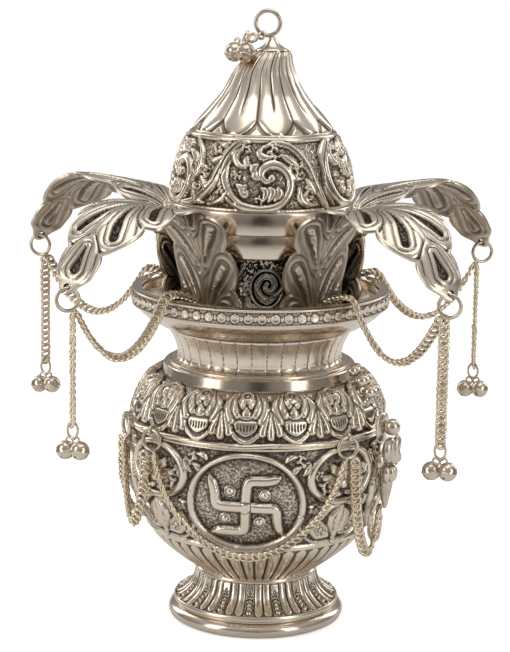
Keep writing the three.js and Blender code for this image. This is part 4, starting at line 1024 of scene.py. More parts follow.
def punch_dome(sheet, azimuth, radius):
    tall = sheet.y.max()
    sheet.height[:] = -0.6
    sheet.stipple(1.0, 0.4, 0.3)
    spread = radius * (dome_radius / radius) ** 0.4
    x = off_middle(azimuth, spread, dome_sectors, dome_turn)
    sheet.x = x
    sector = 2 * math.pi * dome_radius / dome_sectors
    # the branch that arches over, with three leaf curls hanging inside it
    branch = [(-3.4, 25.6), (1.7, 27.2), (8.6, 25.4), (14.6, 18.8), (18.6, 10.0), (23.2, 1.6)]
    along = off_middle(azimuth, spread, 1, dome_turn)
    left_field = (along < -21.5) & (along > -46.0) | (along < 1.5) & (along > -21.5) & (x < -14.0)
    for shown_x in (x, x + sector, x - sector):
        sheet.x = np.where(left_field, 99.0, shown_x)
        sheet.raise_stroke(branch, [0.6, 1.0, 1.2, 1.3, 1.4, 1.5], 0.9, outline=0.4)
        sheet.line([(2.0, 27.0), (8.2, 25.0), (14.0, 18.6), (18.0, 9.8), (22.4, 1.8)], 0.2, 0.3)
    sheet.x = x
    for cx, cy, size, start, turn in ((1.6, 24.2, 3.1, 330, -300), (11.6, 15.6, 2.9, 10, 300),
                                      (15.4, 6.0, 3.2, 40, 300)):
        scroll(sheet, cx, cy, size, start, turn, 0.95)
    for points in ([(-3.4, 25.8), (-5.2, 23.2), (-3.2, 21.4), (0.2, 21.6)],
                   [(7.6, 18.4), (7.0, 15.4), (8.8, 13.4), (11.6, 12.8)],
                   [(10.8, 9.6), (11.4, 5.6), (13.6, 3.4), (17.0, 2.6)],
                   [(3.8, 22.4), (7.4, 20.4), (10.6, 17.8)], [(14.0, 12.6), (16.6, 9.6), (17.6, 6.6)]):
        sheet.raise_stroke(points, [0.5, 1.5, 1.6, 0.5], 1.05)
    # the great scroll: it falls on the left, turns under and curls in to a knot
    curl = [(-8.4, 28.6), (-14.0, 26.2), (-19.2, 20.4), (-20.6, 14.2), (-18.8, 8.2), (-14.4, 3.6),
            (-8.4, 1.6), (-2.4, 1.5), (3.4, 3.6), (7.0, 8.6), (7.2, 13.6), (4.4, 17.4), (0.2, 18.8),
            (-3.4, 17.2), (-4.4, 14.4), (-2.6, 12.2), (-0.2, 12.6)]
    widths = [0.8, 1.8, 2.7, 2.8, 2.5, 2.0, 1.7, 1.6, 1.6, 1.6, 1.6, 1.7, 1.8, 1.7, 1.4, 1.1, 0.8]
    sheet.raise_stroke(curl, widths, 1.15, outline=0.45)
    sheet.line([(a * 0.985 - 0.4, b) for a, b in curl[1:6]], 0.22, 0.35)
    sheet.line([(a * 1.03 - 0.5, b + 0.2) for a, b in curl[2:6]], 0.16, 0.2)
    sheet.x = np.where(left_field, 99.0, x)
    sheet.raise_stroke([(-23.6, 26.8), (-22.8, 18.6), (-23.4, 10.6), (-18.0, 2.0)], [0.4, 0.9, 0.9, 0.5],
                       0.7, outline=0.35)
    sheet.x = along
    sweep = [(-12.0, 28.0), (-17.6, 22.6), (-21.4, 16.4), (-25.6, 9.4), (-32.6, 3.6), (-41.0, 1.8)]
    sheet.raise_stroke(sweep, [0.8, 1.5, 2.0, 2.0, 1.6, 0.8], 1.0, outline=0.45)
    sheet.line([(a + 0.3, b + 0.3) for a, b in sweep[:5]], 0.2, 0.3)
    sheet.raise_stroke([(-35.3, 27.5), (-31.2, 22.4), (-31.6, 15.6), (-36.0, 9.8)], [0.5, 1.2, 1.3, 0.5],
                       0.9, outline=0.4)
    for cx, cy, size, start, turn in ((-22.6, 24.2, 2.6, 100, 300), (-27.4, 14.0, 2.4, 40, 300),
                                      (-33.4, 7.8, 1.8, 60, 300)):
        scroll(sheet, cx, cy, size, start, turn, 1.0)
    for points in ([(-17.6, 26.8), (-20.4, 25.8), (-23.2, 26.6)],
                   [(-20.6, 21.0), (-24.4, 19.4), (-26.8, 20.6)],
                   [(-24.0, 12.0), (-27.4, 9.6), (-30.6, 10.4)],
                   [(-17.8, 7.6), (-20.6, 4.4), (-24.6, 2.4)], [(-20.2, 9.4), (-22.6, 6.8)]):
        sheet.raise_stroke(points, [0.5, 1.3, 0.4], 1.0)
    sheet.x = x
    sheet.raise_oval(-0.2, 13.4, 1.6, 1.6, 1.3, outline=0.45)
    for cx, cy, size, start, turn in ((-10.2, 24.0, 2.2, 200, -300), (-13.4, 13.2, 1.7, 250, -280),
                                      (-5.8, 4.6, 2.0, 300, 280)):
        scroll(sheet, cx, cy, size, start, turn, 1.0)
    for points in ([(-11.8, 25.0), (-15.0, 21.8), (-13.6, 18.4), (-10.4, 17.4)],
                   [(-9.6, 21.4), (-10.4, 19.6), (-8.6, 18.2)],
                   [(-14.0, 10.8), (-12.0, 9.4), (-10.4, 10.6)],
                   [(-12.8, 8.4), (-10.8, 6.8), (-9.8, 8.2)], [(-3.6, 4.8), (-2.4, 8.0), (-4.4, 9.6)],
                   [(-1.6, 4.6), (0.4, 7.8), (-1.2, 9.8)], [(0.8, 5.0), (3.0, 7.6), (2.0, 9.8)],
                   [(-6.4, 16.4), (-7.0, 14.2), (-5.2, 13.0)],
                   [(-5.6, 18.6), (-7.6, 17.2), (-8.0, 15.6)]):
        sheet.raise_stroke(points, [0.5, 1.5, 1.4, 0.5], 1.15)
    for middle, half, up in ((0.5, 0.55, 0.4), (tall - 1.3, 0.95, 0.8)):
        edge = np.abs(sheet.y - middle)
        sheet.set_height(edge < half, up * round_top(edge, half))
        sheet.darken(0.85 * near(edge - half - 0.2, 0.3))
        sheet.set_ink(edge < half * 0.85, 0.0)
    sheet.set_height(sheet.y < 0.25, 0)


chased_sheet("dome_scrolls", dome_curve, 640, 84, punch_dome, body="coconut_lid",
             replaced=("lid_dome",))

# %% [markdown]
# Ten long petals close the coconut. They are broad and smooth at the bottom, where small pointed leaves
# fill the gaps, and gather to sharp pleats under the cap. The tip leans to one side, as the photograph
# shows.
# %% Petal cone
cone_curve = smooth_profile([(27.6, 198.8), (26.4, 200.6), (24.2, 203.6), (21.1, 207.3), (18.4, 210.6),
                             (16.1, 213.6), (14.3, 216.8), (12.7, 220.2), (11.4, 223.2),
                             (10.2, 225.6), (8.6, 228.4), (7.0, 230.2)])
petal_count, petal_turn, radian = 10, 12.0, 57.3
lean_start, lean_reach, tip_lean = 220.4, 9.5, 3.0


def punch_cone(sheet, azimuth, radius):
    tall = sheet.y.max()
    angle = fold(azimuth, petal_count, petal_turn)
    half_petal = 180 / petal_count
    share = np.abs(angle) / half_petal
    up = sheet.y / tall
    foot = np.clip((sheet.y - 0.8) / 7.0, 0, 1)
    edge = np.clip(np.sqrt(foot), 0.02, 1)
    petal = share / edge
    swell = 1.5 * (1 - 0.55 * up)
    sheet.height = np.where(petal < 1, swell * (np.clip(1 - petal ** 2.4, 0, 1) ** 0.6) - 0.6, -0.75)
    crease = np.clip(1 - share / (0.10 + 0.10 * up), 0, 1) * rise(0.22, 0.42, up)
    sheet.height -= 0.75 * crease * (0.5 + 0.6 * up)
    sheet.ink = 0.8 * crease * rise(0.24, 0.34, up) * (share < 0.07)
    sheet.darken(0.85 * np.clip(1 - np.abs(petal - 1.0) * half_petal * radius / radian / 0.34, 0, 1))
    pleat = rise(0.52, 0.8, up)
    pleat_angle = fold(azimuth, petal_count * 2, petal_turn)
    sheet.height += 0.5 * pleat * (np.abs(np.cos(np.radians(pleat_angle) * petal_count)) ** 3 - 0.4)
    sheet.darken(0.6 * pleat * rise(0.86, 1.0, np.abs(pleat_angle) / (half_petal / 2)))
    gap_mm = np.abs(fold(azimuth, petal_count, petal_turn + half_petal)) * radius / radian
    inner = 5.2 * (1 - np.clip(sheet.y / 6.4, 0, 1)) ** 1.3 - 0.9
    sheet.set_height((gap_mm < inner) & (sheet.y > 1.2), -0.15)
    sheet.set_ink((gap_mm < inner - 0.3) & (sheet.y > 1.4), 0.0)
    sheet.darken(0.5 * near(gap_mm - inner, 0.3) * (sheet.y < 5.6))
    rail = np.abs(sheet.y - 0.6)
    sheet.set_height(rail < 0.6, 0.5 * round_top(rail, 0.6))
    sheet.set_ink(rail < 0.5, 0.0)
    sheet.height *= rise(tall, tall - 0.4, sheet.y)


def lean_tip(piece):
    """Leans what stands above the last stretch of the cone, a little more with each step up."""
    for vertex in piece.data.vertices:
        t = min(1.0, max(0.0, (vertex.co.z / MM - lean_start) / lean_reach))
        vertex.co.x += tip_lean * t * t * MM
    piece.data.update()


lean_tip(chased_sheet("cone_petals", cone_curve, 480, 96, punch_cone, body="coconut_lid",
                      replaced=("lid_cone",)))
cap = [(0, 229.7), (6.1, 229.8), (6.3, 230.2), (6.1, 230.8), (5.2, 231.2), (4.0, 231.9), (2.9, 232.9),
       (1.9, 234.0), (1.4, 235.0), (1.0, 235.6), (0, 235.8)]
lean_tip(turned_piece("cone_cap", cap, "coconut_lid", plain_silver, steps=64, replaced=("lid_cap",),
                      smooth=50))
under_lid = [(33.4, 171.6), (34.2, 173.4), (33.8, 178.0), (31.6, 187.6), (28.4, 195.0), (25.4, 198.6),
             (22.4, 201.8), (16.6, 209.6), (12.0, 217.0), (9.0, 223.0), (6.0, 228.6)]
lid_lining = [(r - 0.1, z) for r, z in under_lid] + [(0, 229.4), (0, 228.4)]
lid_lining += [(r - 0.8, z - 0.4) for r, z in under_lid[::-1]] + [(33.3, 171.6)]
# The lid's lining is coloured near-black as painted shade inside the lid.
lean_tip(turned_piece("lid_lining", lid_lining, "coconut_lid", painted_shade_silver,
                      steps=64, smooth=60))

# %% [markdown]
# The five mango leaves are cut from sheet and beaten over a pattern, so each lobe shows as nested drops on
# top and the same form reversed underneath. A leaf rises beside the coconut, arches over the rim and
# falls to a tip with a hole.
# %% Leaf outline
leaf_azimuths = [-43.0, 42.0, 116.0, 180.0, -116.0]
leaf_half, leaf_sheet, leaf_lobes, leaf_droop = 14.6, 1.0, 7, 2.6
leaf_curves = [[(34.4, 121.5), (34.2, 163.0), (44.0, 175.0), (71.0, 175.0)],
               [(71.0, 175.0), (86.0, 175.0), (96.5, 160.0), (104.8, 146.0)]]


def bent_line(start, leave, arrive, end):
    """A line from start to end that leaves and arrives along the two points between."""
    t = np.linspace(0, 1, 400)[:, None]
    return ((1 - t)**3 * np.array(start) + 3 * t * (1 - t)**2 * np.array(leave)
            + 3 * t**2 * (1 - t) * np.array(arrive) + t**3 * np.array(end))


leaf_rib = np.vstack([bent_line(*curve) for curve in leaf_curves])
leaf_run = np.concatenate([[0], np.cumsum(np.hypot(*np.diff(leaf_rib, axis=0).T))])
leaf_length = float(leaf_run[-1])
leaf_notches = np.array([0.0, 0.15, 0.29, 0.42, 0.54, 0.68, 0.85, 1.0]) * leaf_length


def leaf_width(run):
    t = run / leaf_length
    root = 0.72 + 0.28 * rise(0, 0.12, t)
    tip = np.maximum(0, 1 - t) ** 0.66 * 2.0
    wide = leaf_half * np.minimum(np.minimum(root, 1), tip) + 2.4 * rise(0.9, 1, t)
    lobe = np.interp(run, leaf_notches, np.arange(leaf_lobes + 1))
    lobes = 3.3 * np.abs(np.sin(np.pi * lobe)) ** 0.6 * rise(0.04, 0.1, t)
    lobes = lobes * (1 - rise(0.93, 0.98, t)) - 1.2
    end = np.sqrt(np.clip(1 - np.clip((run - leaf_length + 2.6) / 2.6, 0, 1) ** 2, 0, 1))
    return (wide + lobes) * end


def punch_leaf(sheet, across, run, half):
    """Nested drops, one to a lobe, slanting from the rib towards the edge; a single drop at the tip."""
    a = np.abs(across)
    flat = Sheet(a, run, 5)
    drops = []
    for start, end in zip(leaf_notches[:-1], leaf_notches[1:-1]):
        pitch = end - start
        fat = min(1.55, max(0.9, 0.085 * pitch))
        edge = float(np.interp(start + 0.55 * pitch, run[:, 0], half[:, 0])) - 2.4 - 2.0 * fat
        low = start + 0.60 * pitch
        drops.append(flat.inside([(edge * 0.22, low - 0.95 * pitch), (edge * 0.60, low - 0.42 * pitch),
                                  (edge, low)],
                                 [0.05, 0.45 * fat, fat, fat * 0.9], reach=14)[0])
    drops.append(flat.inside([(0, leaf_length - 20.0), (0, leaf_length - 15.0), (0, leaf_length - 10.4)],
                             [0.05, 0.9, 1.9], reach=12)[0])
    drops = np.sort(np.stack(drops), 0)
    s, border = drops[-1], (drops[-1] - drops[-2]) / 2
    bands = 0.75 * round_top(s + 1.05, 0.95) + 0.85 * round_top(s + 3.7, 1.6) * (s > -5.6)
    bands += 0.5 * round_top(s + 6.6, 1.1)
    sheet.height = np.where(s > 0, -0.5, bands - 0.1)
    seam = rise(0.5, 0.08, border)
    sheet.height -= 0.55 * seam
    rib = rise(1.7, 0.5, a) * rise(leaf_length - 21, leaf_length - 25, run)
    sheet.height = sheet.height * (1 - rib) + (0.55 * round_top(a, 1.4) + 0.15) * rib
    edge = half - a
    rolled = rise(1.6, 0.6, edge)
    sheet.height = sheet.height * (1 - rolled) + (0.5 * round_top(edge - 0.65, 0.8)) * rolled
    sheet.ink = np.where(s > 0, 0.35, 0)
    sheet.stipple((s > 0.1) * 1.0, 0.3, 1.0)
    for line, wide, strong in ((-0.05, 0.24, 0.95), (-2.05, 0.26, 0.95), (-5.4, 0.24, 0.8)):
        sheet.darken(strong * near(s - line, wide))
    sheet.darken(0.9 * rise(0.42, 0.1, border) * rise(0.9, 1.8, a))
    sheet.darken(0.6 * near(a - 1.6, 0.25) * (run < leaf_length - 24))
    plain_tip = rise(leaf_length - 5.5, leaf_length - 8.0, run)
    sheet.height *= plain_tip
    sheet.ink *= rise(0.5, 1.4, edge) * plain_tip


# %% [markdown]
# One grid makes a whole leaf: its columns run across the top, round the edge and back underneath. The hole
# near the tip is drilled with a boolean cut.
# %% Leaves
leaf_rows, leaf_columns = 264, 68
leaf_rolls = [14.0, -14.0, 24.0, 0.0, -24.0]
leaf_shifts = [3.0, -3.0, 0.0, 0.0, 0.0]


def rib_at(run):
    """The radius and the height of the leaf's rib, at a distance along it."""
    return np.stack([np.interp(run, leaf_run, leaf_rib[:, k]) for k in (0, 1)], -1)


def make_leaf(index, azimuth):
    piece, i, j = flat_grid(leaf_rows, leaf_columns * 2 + 2)
    mesh = piece.data
    run = leaf_length * (1 - (1 - np.linspace(0, 1, leaf_rows + 1)) ** 1.04)
    middle, ahead, behind = (rib_at(run + step) for step in (0, 0.4, -0.4))
    tangent = (ahead - behind) / np.linalg.norm(ahead - behind, axis=1, keepdims=True)
    normal = np.stack([-tangent[:, 1], tangent[:, 0]], 1)
    half = leaf_width(run)
    s = np.linspace(-1, 1, leaf_columns + 1)
    S, RUN = np.meshgrid(s, run)
    HALF = np.repeat(half[:, None], leaf_columns + 1, 1)
    sheet = Sheet(S * HALF, RUN, 40 + index)
    punch_leaf(sheet, S * HALF, RUN, HALF)
    fade = rise(leaf_length - 0.2, leaf_length - 3.5, RUN) * rise(0, 2, RUN)
    relief = sheet.height * fade * 0.85
    wave = 0.5 * np.sin(RUN / 17.0 + index * 1.7) * S**2 + 0.35 * np.sin(RUN / 9.0 + index * 2.3) * S
    roll = leaf_rolls[index - 1] * rise(0.42, 0.75, RUN / leaf_length)
    cup = -2.0 if index < 3 else 1.2
    droop = cup + (leaf_droop - cup) * rise(0.42, 0.66, RUN / leaf_length)
    sink = droop * S**2 * (HALF / leaf_half) ** 2 - wave + math.tan(math.radians(1)) * roll * S * HALF
    thick = leaf_sheet / 2 * np.sqrt(np.clip(half / 2.0, 0, 1)) * np.sqrt(np.clip(run / 0.6, 0, 1))
    thick = thick[:, None]
    top_out, under_out = thick - sink + relief, -thick - sink + 0.9 * relief
    out = np.hstack([top_out, under_out[:, ::-1], top_out[:, :1]])
    flat_side = S * HALF + leaf_shifts[index - 1] * rise(0.6, 0.1, RUN / leaf_length)
    side = np.hstack([flat_side, flat_side[:, ::-1], flat_side[:, :1]])
    radial = middle[:, :1] + normal[:, :1] * out
    height = middle[:, 1:] + normal[:, 1:] * out
    turn = math.radians(azimuth)
    x = side * math.cos(turn) + radial * math.sin(turn)
    y = side * math.sin(turn) - radial * math.cos(turn)
    points = np.stack([x, y, height], -1) * MM
    mesh.vertices.foreach_set("co", points[i, j].ravel())
    pitch_u, pitch_v = 2 * leaf_half / leaf_columns, leaf_length / leaf_rows
    top_patina = patina_of(relief, sheet.ink, pitch_u, pitch_v, False)
    hollow = relief - blurred(relief, 1.6 / pitch_u, 1.6 / pitch_v, False)
    under_patina = np.clip(0.56 - 0.8 * hollow - 0.45 * sheet.ink, 0, 1)
    patina_and_shade = np.hstack([top_patina, under_patina[:, ::-1], top_patina[:, :1]])
    facing = np.hstack([np.ones_like(S), np.zeros_like(S), np.ones_like(S[:, :1])])
    for name, field in (("patina_and_shade", patina_and_shade), ("top", facing)):
        mesh.attributes.new(name, "FLOAT", "POINT").data.foreach_set("value", field[i, j].ravel())
    mesh.update()
    weld(2e-6)
    drill_hole(piece, azimuth)
    bpy.ops.object.shade_smooth_by_angle(angle=math.radians(75))
    finish_piece(piece, f"mango_leaf_{index}", "leaf_spray", leaf_silver,
                 (f"leaf_{index}",))


def drill_hole(piece, azimuth):
    at, beyond = rib_at(leaf_length - 3.0), rib_at(leaf_length - 2.6)
    along = beyond - at
    select_only()
    bpy.ops.mesh.primitive_cylinder_add(vertices=24, radius=1.5 * MM, depth=6 * MM)
    drill = bpy.context.object
    normal = Vector((0, along[1], along[0])).normalized()
    turn = Matrix.Rotation(math.radians(azimuth), 3, "Z")
    drill.rotation_euler = (turn @ normal.to_track_quat("Z", "Y").to_matrix()).to_euler()
    drill.location = turn @ (Vector((0, -at[0], at[1])) * MM)
    cut_away(piece, drill)


leaf_silver = silver("leaf_silver", (0.74, 0.65, 0.545), (0.48, 0.385, 0.29), (0.03, 0.024, 0.018), 0.27,
                     back=(0.66, 0.56, 0.45))
for index, azimuth in enumerate(leaf_azimuths, 1):
    make_leaf(index, azimuth)
print("leaf length", round(leaf_length, 1), "mm")

# %% [markdown]
# A chain is one small wire link, made once and copied along the chain's route. Every link is rolled the
# same way and tipped over the next, as in a curb chain, and each copy strays a little so that the row
# looks hand closed.
# %% Chain links
link_pitch, link_size, link_twist, link_tip = 2.4, 1.05, 32.0, 0.34
bpy.ops.mesh.primitive_torus_add(major_segments=14, minor_segments=6, major_radius=1.58 * MM,
                                 minor_radius=0.62 * MM)
link_master = bpy.context.object
link_master.scale = (1.12, 1.0, 1.0)
bpy.ops.object.transform_apply(location=False, rotation=False, scale=True)
link_points = mesh_points(link_master.data)
link_faces = [list(f.vertices) for f in link_master.data.polygons]
bpy.data.objects.remove(link_master, do_unlink=True)


def unit(vector):
    return vector / np.linalg.norm(vector)


def at_azimuth(radius, azimuth, z):
    a = math.radians(azimuth)
    return np.array([radius * math.sin(a), -radius * math.cos(a), z])


def chain(name, route, body, facing, replaced, seed):
    """Copies the link at even steps along a smooth route and joins the copies into one piece."""
    noise = np.random.default_rng(seed)
    path = through(np.asarray(route, float), 14)
    run = run_along(path)
    count = max(2, int(round(run[-1] / (link_pitch * link_size))))
    points, faces = [], []

    def path_at(where):
        return np.array([np.interp(where, run, path[:, i]) for i in range(3)])

    for where in (np.arange(count) + 0.5) * run[-1] / count:
        centre, tangent = path_at(where), unit(path_at(where + 0.8) - path_at(where - 0.8))
        side = unit(np.cross(facing(centre) if callable(facing) else facing, tangent))
        up = np.cross(tangent, side)
        roll = math.radians(link_twist + noise.normal(0, 5))
        across = math.cos(roll) * side + math.sin(roll) * up
        over = np.cross(tangent, across)
        tip = unit(tangent + (link_tip + 0.05 * noise.normal()) * over + 0.05 * noise.normal() * across)
        over = unit(np.cross(tip, across))
        turn = np.stack([tip, np.cross(over, tip), over])
        base = len(points) * len(link_points)
        points.append(centre * MM + link_size * link_points @ turn)
        faces += [[v + base for v in face_points] for face_points in link_faces]
    mesh = bpy.data.meshes.new(name)
    mesh.from_pydata(np.vstack(points).tolist(), [], faces)
    mesh.update()
    piece = bpy.data.objects.new(name, mesh)
    bpy.context.scene.collection.objects.link(piece)
    select_only(piece)
    bpy.ops.object.shade_smooth()
    return finish_piece(piece, name, body, chain_metal, replaced)


# %% [markdown]
# A split ring hangs through the hole of each leaf. From it hang a straight tassel chain with two round
# bells and a loose chain that sags, climbs over the lip and ends behind the leaf.
# %% Tip rings, tassels and swags
tip_radius, ring_height, tip_ring_radius, ring_wire = 103.255, 144.171, 4.2, 0.72
tassel_top, tassel_bottom = 138.87, 93.37
bell_height, bell_apart, bell_radius = 88.47, 3.6, 3.6
tassel_drops = [1.5, 7.0, 3.0, 0.0, 4.0]


def shaped(kind, matrix, **settings):
    """A primitive placed by a matrix in millimetres, with its mesh moved so that the object stays put."""
    select_only()
    getattr(bpy.ops.mesh, f"primitive_{kind}_add")(**settings)
    piece = bpy.context.object
    piece.data.transform(Matrix.Diagonal((MM, MM, MM, 1)) @ matrix)
    return piece


def torus(matrix, major, minor, segments, around=8):
    return shaped("torus", matrix, major_segments=segments, minor_segments=around, major_radius=major,
                  minor_radius=minor)


def ring_piece(name, centre, azimuth, radius, wire, body, replaced, twist=0.0, tilt=0.0):
    """A round wire ring that stands upright in the plane through the pot's axis, turned by twist."""
    place = Matrix.Translation(centre) @ turned(azimuth + twist) @ turned(90 + tilt, "Y")
    piece = torus(place, radius, wire, 44, 10)
    bpy.ops.object.shade_smooth()
    finish_piece(piece, name, body, ring_metal, replaced)


# A bell is two pressed halves that meet in a seam.
bell_angles = [math.radians(-90 + 180 * k / 16) for k in range(17)]
bell_outline = [(abs(math.cos(a)), math.sin(a)) for a in bell_angles]
bell_outline[0], bell_outline[-1] = (0.0, -1.0), (0.0, 1.0)
bell_outline[7:10] = [(0.985, -0.10), (1.035, -0.06), (1.035, 0.06), (0.985, 0.10)]


def bell_piece(name, centres, radius, loops, body, replaced, lean=0.0):
    """Bells with four holes each, and the wire loops that they hang on, as one piece."""
    parts = []
    for index, centre in enumerate(centres):
        outline = [(r * radius, z * radius) for r, z in bell_outline]
        bell = turned_piece(f"{name}_{index}", outline, body, bell_metal, steps=32, smooth=60)
        for k in range(4):
            a = math.radians(45 + 90 * k + 20 * index)
            select_only()
            bpy.ops.mesh.primitive_cylinder_add(vertices=12, radius=0.13 * radius * MM,
                                                depth=0.9 * radius * MM)
            drill = bpy.context.object
            out = Vector((math.cos(a) * 0.8, math.sin(a) * 0.8, -0.6))
            drill.rotation_euler = out.to_track_quat("Z", "Y").to_euler()
            drill.location = out * radius * MM * 0.85
            cut_away(bell, drill)
        place = Matrix.Translation(Vector(centre) * MM)
        bell.data.transform(place @ turned(lean if index else -lean, "Y"))
        parts.append(bell)
    for centre, major, wire, turn, tilt, stretch in loops:
        place = Matrix.Translation(centre) @ turned(turn) @ turned(90 + tilt, "Y")
        parts.append(torus(place @ Matrix.Diagonal((stretch, 1, 1, 1)), major, wire, 24))
    join_into(name, parts, body, bell_metal, replaced)


def swag_points(azimuth):
    start, outer, sag, steps = np.array([99.29, 139.4]), np.array([53.8, 137.6]), 20.0, 8
    drawn = []
    for i in range(steps):
        t = i / steps
        r, z = start + (outer - start) * t
        drawn.append((r, z - 4 * sag * t * (1 - t)))
    drawn += [(53.6, 137.6), (51.0, 138.9), (47.4, 138.9), (43.2, 137.6), (39.6, 136.2), (36.9, 134.9)]
    return [at_azimuth(r, azimuth, z) for r, z in drawn]


for index, azimuth in enumerate(leaf_azimuths, 1):
    swing = f"swing_{index}"
    ring_piece(f"split_ring_{index}", at_azimuth(tip_radius, azimuth, ring_height), azimuth,
               tip_ring_radius, ring_wire, swing, (f"tip_ring_{index}",),
               twist=(-28, 28, -10, 0, 10)[index - 1])
    chain(f"swag_{index}", swag_points(azimuth), swing, (0, 0, 1), (f"swag_chain_{index}",), index)
    drop, hang = tassel_drops[index - 1], tip_radius - 2.4
    tassel = [at_azimuth(hang, azimuth, z) for z in (tassel_top + 0.9, 116, tassel_bottom + 4.4 - drop)]
    chain(f"tassel_{index}", tassel, f"tassel_{index}", at_azimuth(1, azimuth, 0),
          (f"tassel_chain_{index}",), 20 + index)
    across = at_azimuth(1, azimuth + 90, 0) if index == 4 else np.array([0.8, -0.6, 0])
    middle = at_azimuth(hang, azimuth, bell_height - drop)
    centres = [middle - across * bell_apart - [0, 0, 0.5], middle + across * bell_apart + [0, 0, 0.35]]
    loops = [(middle + [0, 0, 7.6], 2.15, 0.5, 66 if index != 4 else azimuth + 60, 0, 1.45)]
    loops += [(centre * 0.45 + middle * 0.55 + [0, 0, 3.7], 1.3, 0.45, 75, 10, 1.0) for centre in centres]
    bell_piece(f"bells_{index}_pair", centres, bell_radius, loops, f"bells_{index}",
               (f"tassel_bells_{index}",), lean=12)
print("tassels and swags", len(leaf_azimuths))

# %% [markdown]
# Garlands hang round the belly from thin rings on the pipe's ears. Their routes repeat the CAD's, a
# little farther out so that the links rest on the chased frames.
# %% Garlands
ring_drop, ring_step, end_gap = 9.3, 4.284, 1.9
garland_clear, pin_out, free_height = 3.2, 55.2, 69.3


def bowl_radius_at(z):
    return float(np.interp(z, bowl_curve[:, 1], bowl_curve[:, 0]))


def garland_route(start, end, depth, hang_out, side_end=None):
    span, way = abs(end - start), math.copysign(1, end - start)
    step = math.degrees(ring_step / pin_radius)
    first, last = start + way * step * 0.6, end - way * (end_gap if side_end else step * 0.6)
    high = ear_height - ring_drop
    low_end = side_end or high
    points, steps = [], max(12, round(span / 5))
    for i in range(steps + 1):
        t = i / steps
        turn = first + (last - first) * ((0.5 - 0.5 * math.cos(math.pi * t)) * 0.55 + t * 0.45)
        sag = math.sin(math.pi * t) ** (1.0 if span > 60 else 0.9)
        z = high + (low_end - high) * t - depth * sag * (1 - 0.35 * t if side_end else 1)
        bowl = bowl_radius_at(z) + garland_clear
        radius = bowl + (pin_out - bowl) * hang_out if z < free_height else max(bowl, pin_out)
        points.append(at_azimuth(radius, FRONT + turn, z))
    return points


def outward(p):
    return unit(np.array([p[0], p[1], 0]))


garlands = {
    "front": (-45, 45, 37.7, 0.25),
    "left_loop": (-72, -45, 31, 1.0),
    "right_loop": (45, 67, 33, 1.0, 52.4),
    "back": (135, 225, 37.7, 0.25),
    "back_left": (-135, -72, 38, 0.4),
    "back_right": (135, 67, 38, 0.4, 52.4),
}
for number, (name, run) in enumerate(garlands.items()):
    body = f"garland_{name}"
    chain(f"garland_links_{name}", garland_route(*run), body, outward, (body,), 40 + number)
for number, (name, azimuth) in enumerate(hanger_azimuths.items()):
    ring_piece(f"hanger_{name}", at_azimuth(pin_radius, azimuth, ear_height - 4.2), azimuth + 90, 4.2,
               0.75, f"ring_{name}", (f"hanger_ring_{name}",), twist=(14, -12, 8, -8, 10)[number])
print("garlands", list(garlands))

# %% [markdown]
# Each hanging ring passes through a small ear on the pipe.
# %% Ears on the pipe
def facing_out(azimuth, radius, z):
    """A frame whose x runs round the pot, whose y runs in towards its axis and whose z is up."""
    return turned(azimuth) @ Matrix.Translation((0, -radius, z))


for name, azimuth in hanger_azimuths.items():
    place = facing_out(azimuth, pin_radius, ear_height)
    ear = torus(place @ turned(90, "Y"), 1.35, 0.5, 24)
    root_place = place @ Matrix.Translation((0, 1.6, 0)) @ turned(90, "X")
    root = shaped("cylinder", root_place, vertices=16, radius=0.75, depth=1.6)
    join_into(f"ear_{name}", [ear, root], "pot", plain_silver)

# %% [markdown]
# On the right a cast cluster hangs from a bracket on the shoulder: a ring and three links, an upright
# disc, a ball, an engraved leaf with two bud stubs, a rosette and a pointed taper.
# %% Side pendant
pendant_azimuth, pendant_radius = 62.0, 56.9
antique_silver = silver("antique_silver", (0.78, 0.70, 0.60), (0.34, 0.27, 0.20), SOOT, 0.24,
                        chased=False, stain=0.6)
place = facing_out(pendant_azimuth, pendant_radius, 0.0)


def ball(x, y, z, sizes, segments=24, tilt=0.0):
    spot = place @ Matrix.Translation((x, y, z)) @ turned(tilt, "Y") @ Matrix.Diagonal((*sizes, 1))
    return shaped("uv_sphere", spot, segments=segments, ring_count=segments // 2, radius=1)


bracket = []
for r, z, size in ((42.6, 107.2, 2.4), (46.6, 103.6, 2.7), (50.2, 99.4, 2.6)):
    for x in (-1.9, 1.9):
        spot = facing_out(pendant_azimuth, r, z) @ Matrix.Translation((x, 0, 0))
        bracket.append(shaped("uv_sphere", spot @ Matrix.Diagonal((size, size, size, 1)), segments=20,
                              ring_count=12, radius=1))
hook_place = facing_out(pendant_azimuth, 51.6, 97.7) @ Matrix.Translation((0, -1.4, 0)) @ turned(90, "Y")
bracket.append(torus(hook_place, 1.7, 0.55, 20))
join_into("bracket_lobed", bracket, "pot", plain_silver, ("side_bracket",))

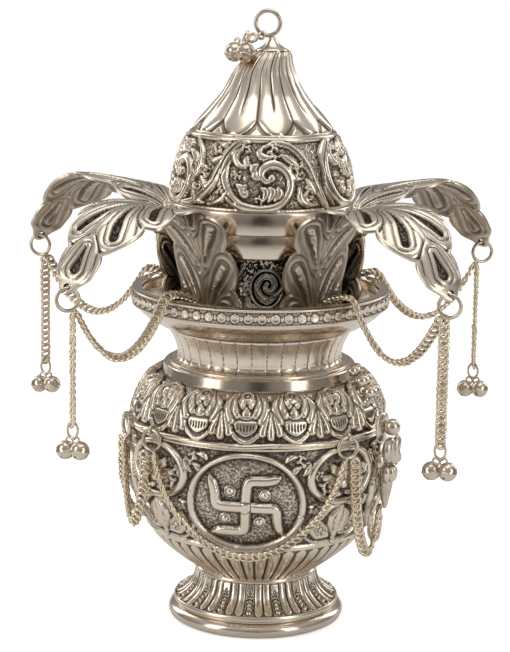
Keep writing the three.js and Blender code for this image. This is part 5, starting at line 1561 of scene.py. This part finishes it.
cluster = []
for k, (z, turn) in enumerate(((95.4, 0), (92.9, 90))):
    spot = place @ Matrix.Translation((0, 2.6 - 0.9 * k, z)) @ turned(turn) @ turned(90, "Y")
    cluster.append(torus(spot @ Matrix.Diagonal((1.3, 1, 1, 1)), 1.6, 0.5, 18))
for x, y, z, sizes, segments, tilt in (
        (-1.4, 1.2, 86.0, (5.4, 1.3, 5.9), 32, 0), (0.0, -2.6, 86.2, (3.3, 3.3, 3.4), 32, 0),
        (-0.6, -2.2, 76.8, (4.9, 2.6, 5.3), 32, 0), (2.2, -3.6, 78.6, (2.5, 1.8, 4.4), 24, 24),
        (-1.9, -3.9, 75.9, (2.1, 1.7, 4.6), 24, -18), (1.0, -4.5, 74.6, (1.5, 1.2, 3.8), 24, 8),
        (-4.6, 0.2, 73.4, (2.0, 2.0, 3.2), 20, 22), (4.4, -3.2, 73.6, (1.6, 1.6, 2.8), 20, -20)):
    cluster.append(ball(x, y, z, sizes, segments, tilt))
for a in np.radians(range(0, 360, 60)):
    cluster.append(ball(2.2 * math.cos(a), -1.6 + 1.8 * math.sin(a), 67.4, (1.7, 1.7, 3.4), 16))
cluster.append(ball(0.0, -1.6, 66.8, (2.6, 2.6, 3.2), 20))
taper_outline = [(0, 0.0), (0.7, 0.2), (1.3, 2.2), (2.3, 6.6), (3.0, 10.2), (2.7, 12.6), (1.6, 14.4),
                 (0, 15.2)]
taper = turned_piece("taper", taper_outline, "side_pendant", plain_silver, steps=32, smooth=60)
to_mm = Matrix.Diagonal((MM, MM, MM, 1))
taper.data.transform(to_mm @ place @ Matrix.Translation((0.6, 0, 52.6)) @ to_mm.inverted())
cluster.append(taper)
join_into("pendant_cluster", cluster, "side_pendant", antique_silver, ("side_pendant",))

# %% [markdown]
# The loop on the coconut's tip carries a ring, and two smooth bells hang beside it on three links.
# %% Finial ring and top bells
ring_piece("finial_loop", (1.2, 0, 240.87), 90, 4.8, 0.78, "coconut_lid", ("finial_ring",), twist=-6,
           tilt=3)
top_centres = [np.array([-11.75, -1.5, 229.5]), np.array([-7.32, -8.24, 229.7])]
knot = np.array([-6.4, -3.6, 234.0])
top_loops = [(knot + [-1.2, 0.6, 0.8], 2.1, 0.5, 20, 20, 1.3),
             (knot + [1.6, 0.6, 1.2], 1.5, 0.5, 70, 40, 1.3),
             (knot + [3.6, 1.2, 1.6], 1.4, 0.5, 10, 30, 1.3),
             (knot + [5.2, 1.6, 2.2], 1.3, 0.45, 80, 30, 1.2)]
top_loops += [(top_centres[0] + [1.0, -0.2, 4.4], 1.1, 0.42, 60, 20, 1.0),
              (top_centres[1] + [0.2, 0.8, 4.4], 1.1, 0.42, 20, -20, 1.0)]
bell_piece("top_bells_pair", top_centres, 3.85, top_loops, "top_bells", ("top_bells",), lean=10)

# %% [markdown]
# The base disc and the ring that carries the leaves are shown as packed, each with a finish of its own: the
# base disc is near-black painted shade, the ring brushed silver.
# %% Imported pieces shown
for name, finish in (("foot_base_disc", painted_shade_silver), ("leaf_ring", brushed_silver)):
    shown = [piece for piece in bpy.data.objects
             if piece.type == "MESH" and piece.name.split(".")[0] == name]
    for piece in shown:
        piece.data.materials.clear()
        piece.data.materials.append(finish)
    print(name, len(shown))
